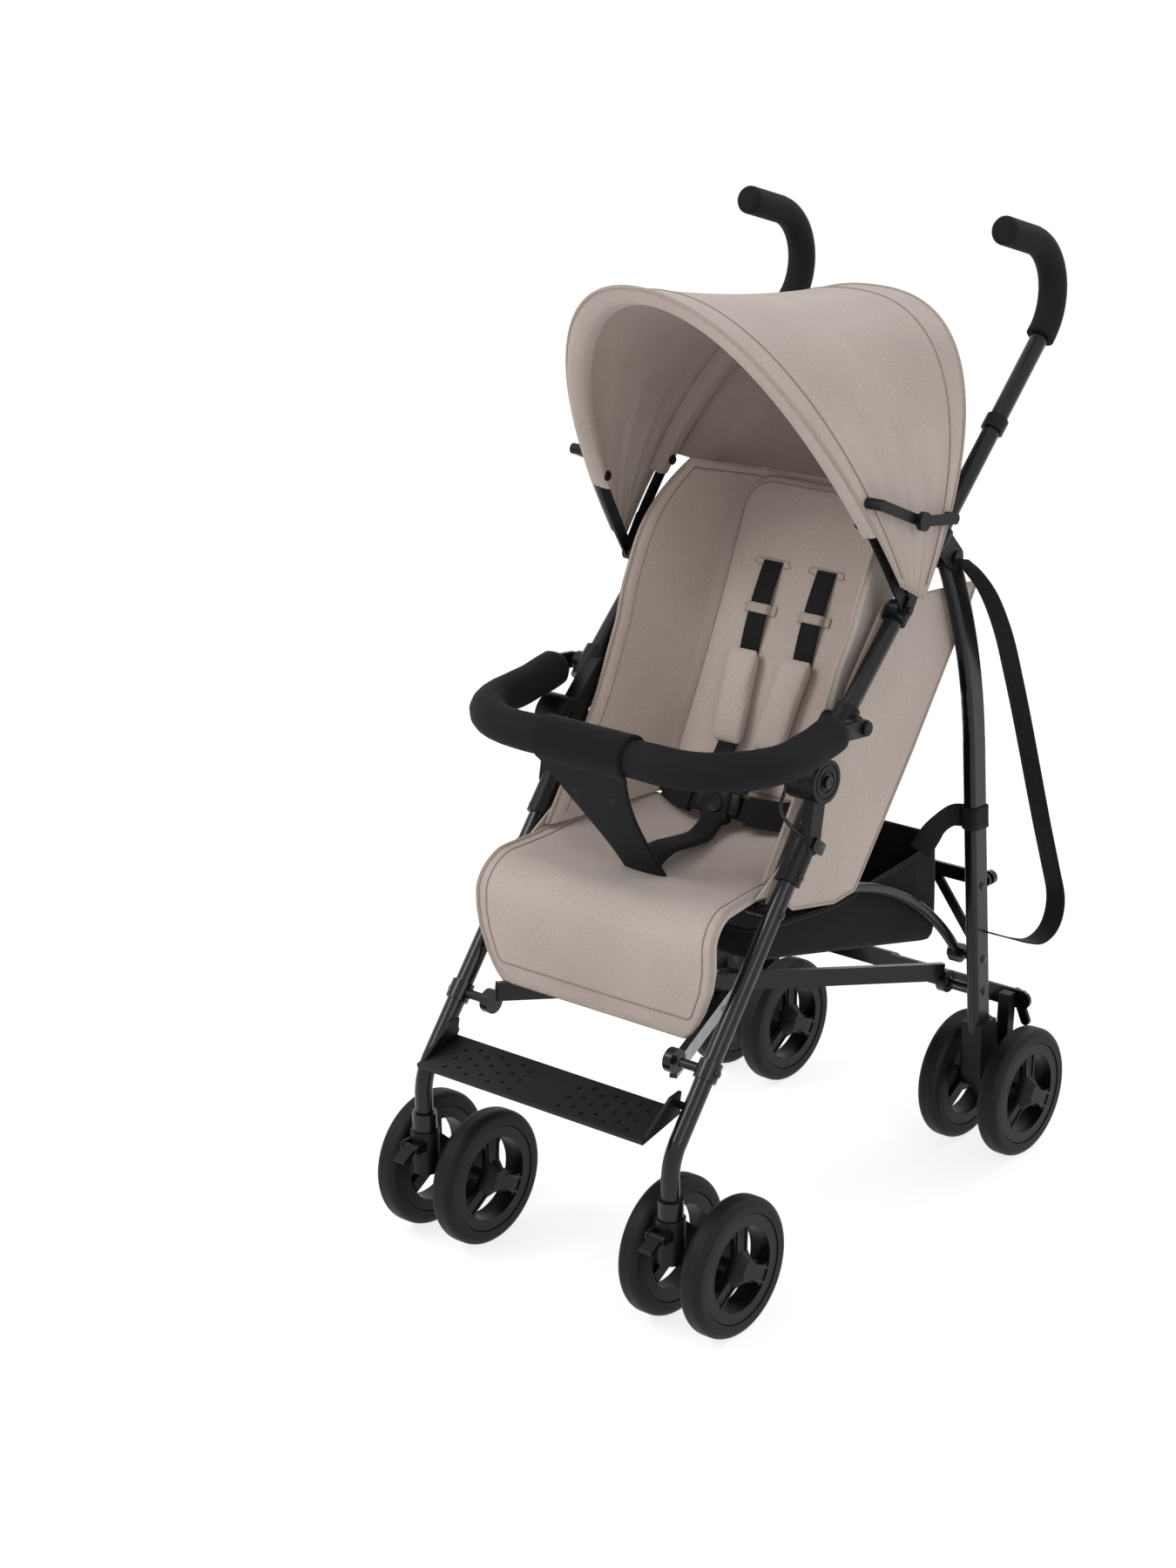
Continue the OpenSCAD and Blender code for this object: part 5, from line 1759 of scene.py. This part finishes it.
@dataclass
class Harness:
    """Shoulder straps with pads, lap belts, buckle and crotch strap.

    Attributes:
        seat: The seat that it lies on.
        spread: Distance of each shoulder strap from the middle.
        draw: How much nearer the middle the strap leaves its pad.
        buckle: Centre of the buckle, as (y, z).
        tilt: Tilt of the buckle, in degrees.
    """

    seat: Seat
    spread: float = 0.036
    draw: float = 0.009
    buckle: Pair = (-0.024, 0.460)
    tilt: float = 70.0

    def on_back(self, t: float, x: float, out: float) -> Triple:
        """Returns the point at height t and x across, out in front of the backrest."""
        y, z = self.seat.back_at(t)
        lean = math.radians(self.seat.recline)
        return x, y - out * math.cos(lean), z + out * math.sin(lean)

    def strap_lines(self, side: int) -> tuple[np.ndarray, np.ndarray]:
        """Returns a shoulder strap's centreline from its pad up to its slit, and from its pad down to the buckle."""
        x = side * self.spread
        low, high = 0.44, 0.73
        rise = np.linspace(low, high, 24)
        up = array(self.on_back(t, x, 0.0128 + 0.004 * math.sin(math.pi * (t - low) / 0.29)) for t in rise)
        pad_foot = np.array((x - side * self.draw, *self.on_back(0.19, x, 0.018)[1:]))
        latch = np.array((side * 0.019, self.buckle[0] + 0.010, self.buckle[1] + 0.014))
        return up, array(pad_foot + (latch - pad_foot) * s for s in np.linspace(0, 1, 12))

    def pad(self, side: int) -> Piece:
        """Makes a shoulder pad, whose cloth swells between its sewn ends."""
        x = side * self.spread
        width, thick, off = 0.0405, 0.0085, 0.0215
        rings = []
        for t in np.linspace(0.18, 0.46, 30):
            e = (t - 0.32) / 0.14
            fill = max(0.12, 1 - abs(e) ** 7) ** 0.5
            wide = width * (0.9 + 0.1 * fill) * (1 - 0.03 * math.cos(math.pi / 2 * e))
            inward = side * self.draw * (0.46 - t) / 0.28
            ring = [(x - inward + wide / 2 * px, off + thick * fill * pz) for px, pz in rounded_section(18)]
            rings.append([self.on_back(t, across, out) for across, out in ring])
        return stuff(loft("pad", np.array(rings)), 0.004, 0.005, lambda p: (p.x, p.z))

    def keepers(self, side: int) -> list[Piece]:
        """Makes the loop that holds a shoulder strap down, and the bound slit that the strap goes through."""
        x = side * self.spread
        keeper_at, slit_at = 0.585, 0.725
        hold = array(
            self.on_back(keeper_at, x + w, 0.0108 + (0.0085 if abs(w) < 0.0135 else 0.0025))
            for w in np.linspace(-0.021, 0.021, 29)
        )
        keeper = ribbon("keeper", hold, (0, 0.43, 0.9), 0.011, 0.0014)
        slit = [(0.020, 0.0035), (-0.020, 0.0035), (-0.020, -0.0035), (0.020, -0.0035)]
        loop = array(self.on_back(slit_at + h / self.seat.rise, x + w, 0.0118) for w, h in [*slit, slit[0]])
        return [keeper, tube("slit", resample(loop, 0.002), 0.0011, 6)]

    def shoulders(self) -> None:
        """Makes the straps, their pads, keepers and slits."""
        straps, pads, keepers, rows = [], {}, [], []
        for side, name in SIDES:
            straps += [ribbon("strap", line, (1, 0, 0), WEBBING_WIDTH, 0.0018) for line in self.strap_lines(side)]
            pads[f"shoulder_pad_{name}"] = self.pad(side)
            keepers += self.keepers(side)
            x = side * self.spread
            rows.append(array(self.on_back(0.445, x + w, 0.0235) for w in np.linspace(-0.0165, 0.0165, 14)))
        place(merge("shoulder_webbing", straps), WEBBING, "backrest", ["harness"], True)
        place(merge("shoulder_keepers", keepers), PIPING_PAINTED_SHADE, "backrest", folds=True)
        place(seam("shoulder_stitches", rows), THREAD, "backrest", folds=True)
        for name, pad in pads.items():
            pad.name = name
            place(pad, TAUPE, "backrest", folds=True)

    def belts(self) -> None:
        """Makes the lap belts and their pads."""
        belts = []
        for side in (1, -1):
            y, z = self.buckle
            line = array(
                [
                    (side * 0.017, y, z),
                    (side * 0.036, y + 0.002, z - 0.002),
                    (side * 0.060, y + 0.012, z - 0.005),
                    (side * 0.084, y + 0.026, z - 0.006),
                    (side * 0.104, y + 0.037, z - 0.005),
                ]
            )
            path = resample(line, 0.004)
            belts.append(ribbon("belt", path, (0, 0.5, 0.87), WEBBING_WIDTH, 0.002))
            belts.append(ribbon("belt_pad", path[5:-3], (0, 0.5, 0.87), 0.032, 0.006, 0.001))
        place(merge("lap_webbing", belts), WEBBING, "backrest", folds=True)

    def clasp(self) -> None:
        """Makes the buckle, its button and the crotch strap."""
        y, z = self.buckle
        t = math.radians(self.tilt)
        across, up = (1.0, 0.0, 0.0), (0.0, math.cos(t), math.sin(t))
        body = slab("buckle_shell", (0, y, z), across, up, (0.036, 0.044, 0.014), 0.008, 0.003)
        wings = [
            slab("wing", (side * 0.0225, y, z + 0.002), across, up, (0.014, 0.026, 0.008), 0.004, 0.002)
            for side in (1, -1)
        ]
        place(merge("buckle_shell", [body, *wings]), MOULDED, "seat_rail_right", ["buckle"], True)
        face = np.cross(across, up)
        button = lathe(
            "buckle_press",
            [(TIP, 0.0), (0.011, 0.0), (0.011, 0.0050), (0.0098, 0.0062), (0.006, 0.0054), (TIP, 0.0048)],
            np.array((0, y, z)) + 0.0032 * face,
            face,
            32,
        )
        place(button, MOULDED, "buckle_button", ["buckle_button"], True)
        route = array(
            [
                (0, -0.150, 0.4240),
                (0, -0.140, 0.4320),
                (0.001, -0.118, 0.4375),
                (0.002, -0.088, 0.4350),
                (0.001, -0.060, 0.4325),
                (0, -0.046, 0.4370),
                (0, -0.036, 0.4430),
            ]
        )
        strap = ribbon("crotch_strap", resample(route, 0.004), (1, 0, 0), lambda s: 0.038 - 0.010 * s, 0.0045, 0.0015)
        place(strap, WEBBING, "seat_rail_right", folds=True)

    def build(self) -> None:
        """Makes the whole harness."""
        self.shoulders()
        self.belts()
        self.clasp()


# ---------------------------------------------------------------- basket and footrest


@dataclass
class Basket:
    """Cloth bag between the seat rails, with a bound rim.

    Attributes:
        half: Half its width at the rim.
        front: Y of its front.
        rear: Y of its rear.
        corner: Radius of its corners, seen from above.
    """

    half: float = 0.1335
    front: float = -0.138
    rear: float = 0.209
    corner: float = 0.022

    def rim(self, y: float) -> float:
        """Returns the height of the rim at y."""
        return float(np.interp(y, [self.front, 0.0, 0.150, self.rear], [0.379, 0.364, 0.375, 0.383]))

    def floor(self, y: float) -> float:
        """Returns the height of the floor at y."""
        return 0.3455 - 0.087 * (y - self.front) / (self.rear - self.front)

    def ring(self, inset: float, depth: float, sag: float) -> list[Triple]:
        """Gives a ring of the bag.

        Args:
            inset: Distance in from its sides.
            depth: Share of the way from rim to floor.
            sag: How far it hangs under that.

        Returns:
            The ring's points.
        """
        length = self.rear - self.front - 2 * inset
        outline = rounded(2 * (self.half - inset), length, max(0.004, self.corner - inset), 8, 10)
        middle = (self.front + self.rear) / 2
        ring = []
        for x, dy in outline:
            y = middle + dy
            ring.append((x, y, self.rim(y) * (1 - depth) + self.floor(y) * depth - sag))
        return ring

    def build(self) -> None:
        """Makes the bag, open at the top, and its binding."""
        steps = [(0.0, 0.0, 0.0), (0.0, 0.04, 0.0)]
        steps += [(-0.001 * math.sin(math.pi * d), d, 0.0) for d in np.linspace(0.12, 0.84, 9)]
        steps += [(0.0012, 0.92, 0.0), (0.005, 0.975, 0.0), (0.012, 1.0, 0.0005), (0.024, 1.0, 0.0015)]
        steps += [(i, 1.0, 0.0015 + 0.04 * (i - 0.024)) for i in np.linspace(0.04, 0.12, 6)]
        rings = np.array([self.ring(*step) for step in steps])
        bag = loft("basket_bag", rings)
        shell = bmesh.new()
        shell.from_mesh(bag.data)
        shell.faces.ensure_lookup_table()
        lid = max(shell.faces, key=lambda f: f.calc_center_median().z if len(f.verts) > 4 else -1)
        bmesh.ops.delete(shell, geom=[lid], context="FACES_ONLY")
        bmesh.ops.recalc_face_normals(shell, faces=shell.faces)
        shell.to_mesh(bag.data)
        area = sum(face.calc_area() for face in shell.faces)
        shell.free()
        wall = bag.modifiers.new("wall", "SOLIDIFY")
        wall.thickness = HEAVY_CLOTH
        wall.offset = -1
        bake(bag)
        place(bag, BLACK, "seat_rail_right", ["basket"], True)
        side = self.rim(self.rear) - self.floor(self.rear)
        rim = np.array(self.ring(0.0, 0.0, 0.0))
        place(tube("basket_binding", np.vstack([rim, rim[:1]]), 0.0026, BEAD), WEBBING, "seat_rail_right", folds=True)


@dataclass
class Footrest:
    """Moulded plate between the front legs.

    Attributes:
        frame: The loaded frame.
    """

    frame: dict

    def build(self) -> None:
        """Makes the plate with softened edges."""
        rest = twin(self.frame, "footrest", "footrest_plate")
        soft = rest.modifiers.new("soft", "BEVEL")
        soft.width = 0.0009
        soft.segments = 2
        soft.limit_method = "ANGLE"
        bake(rest)
        crease(rest, 40)
        place(rest, MOULDED, "front_leg_right", ["footrest"], True)


def main() -> None:
    """Builds the stroller on its frame."""
    logging.basicConfig(level=logging.INFO, format="%(name)s: %(message)s")
    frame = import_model()
    studio = Studio()
    studio.camera()
    CarryStrap().build()
    Chassis(frame).build()
    Canopy(frame).build()
    Seat().build()
    Bumper().build()
    Harness(Seat()).build()
    Basket().build()
    Footrest(frame).build()
    studio.build()


if __name__ == "__main__":
    main()
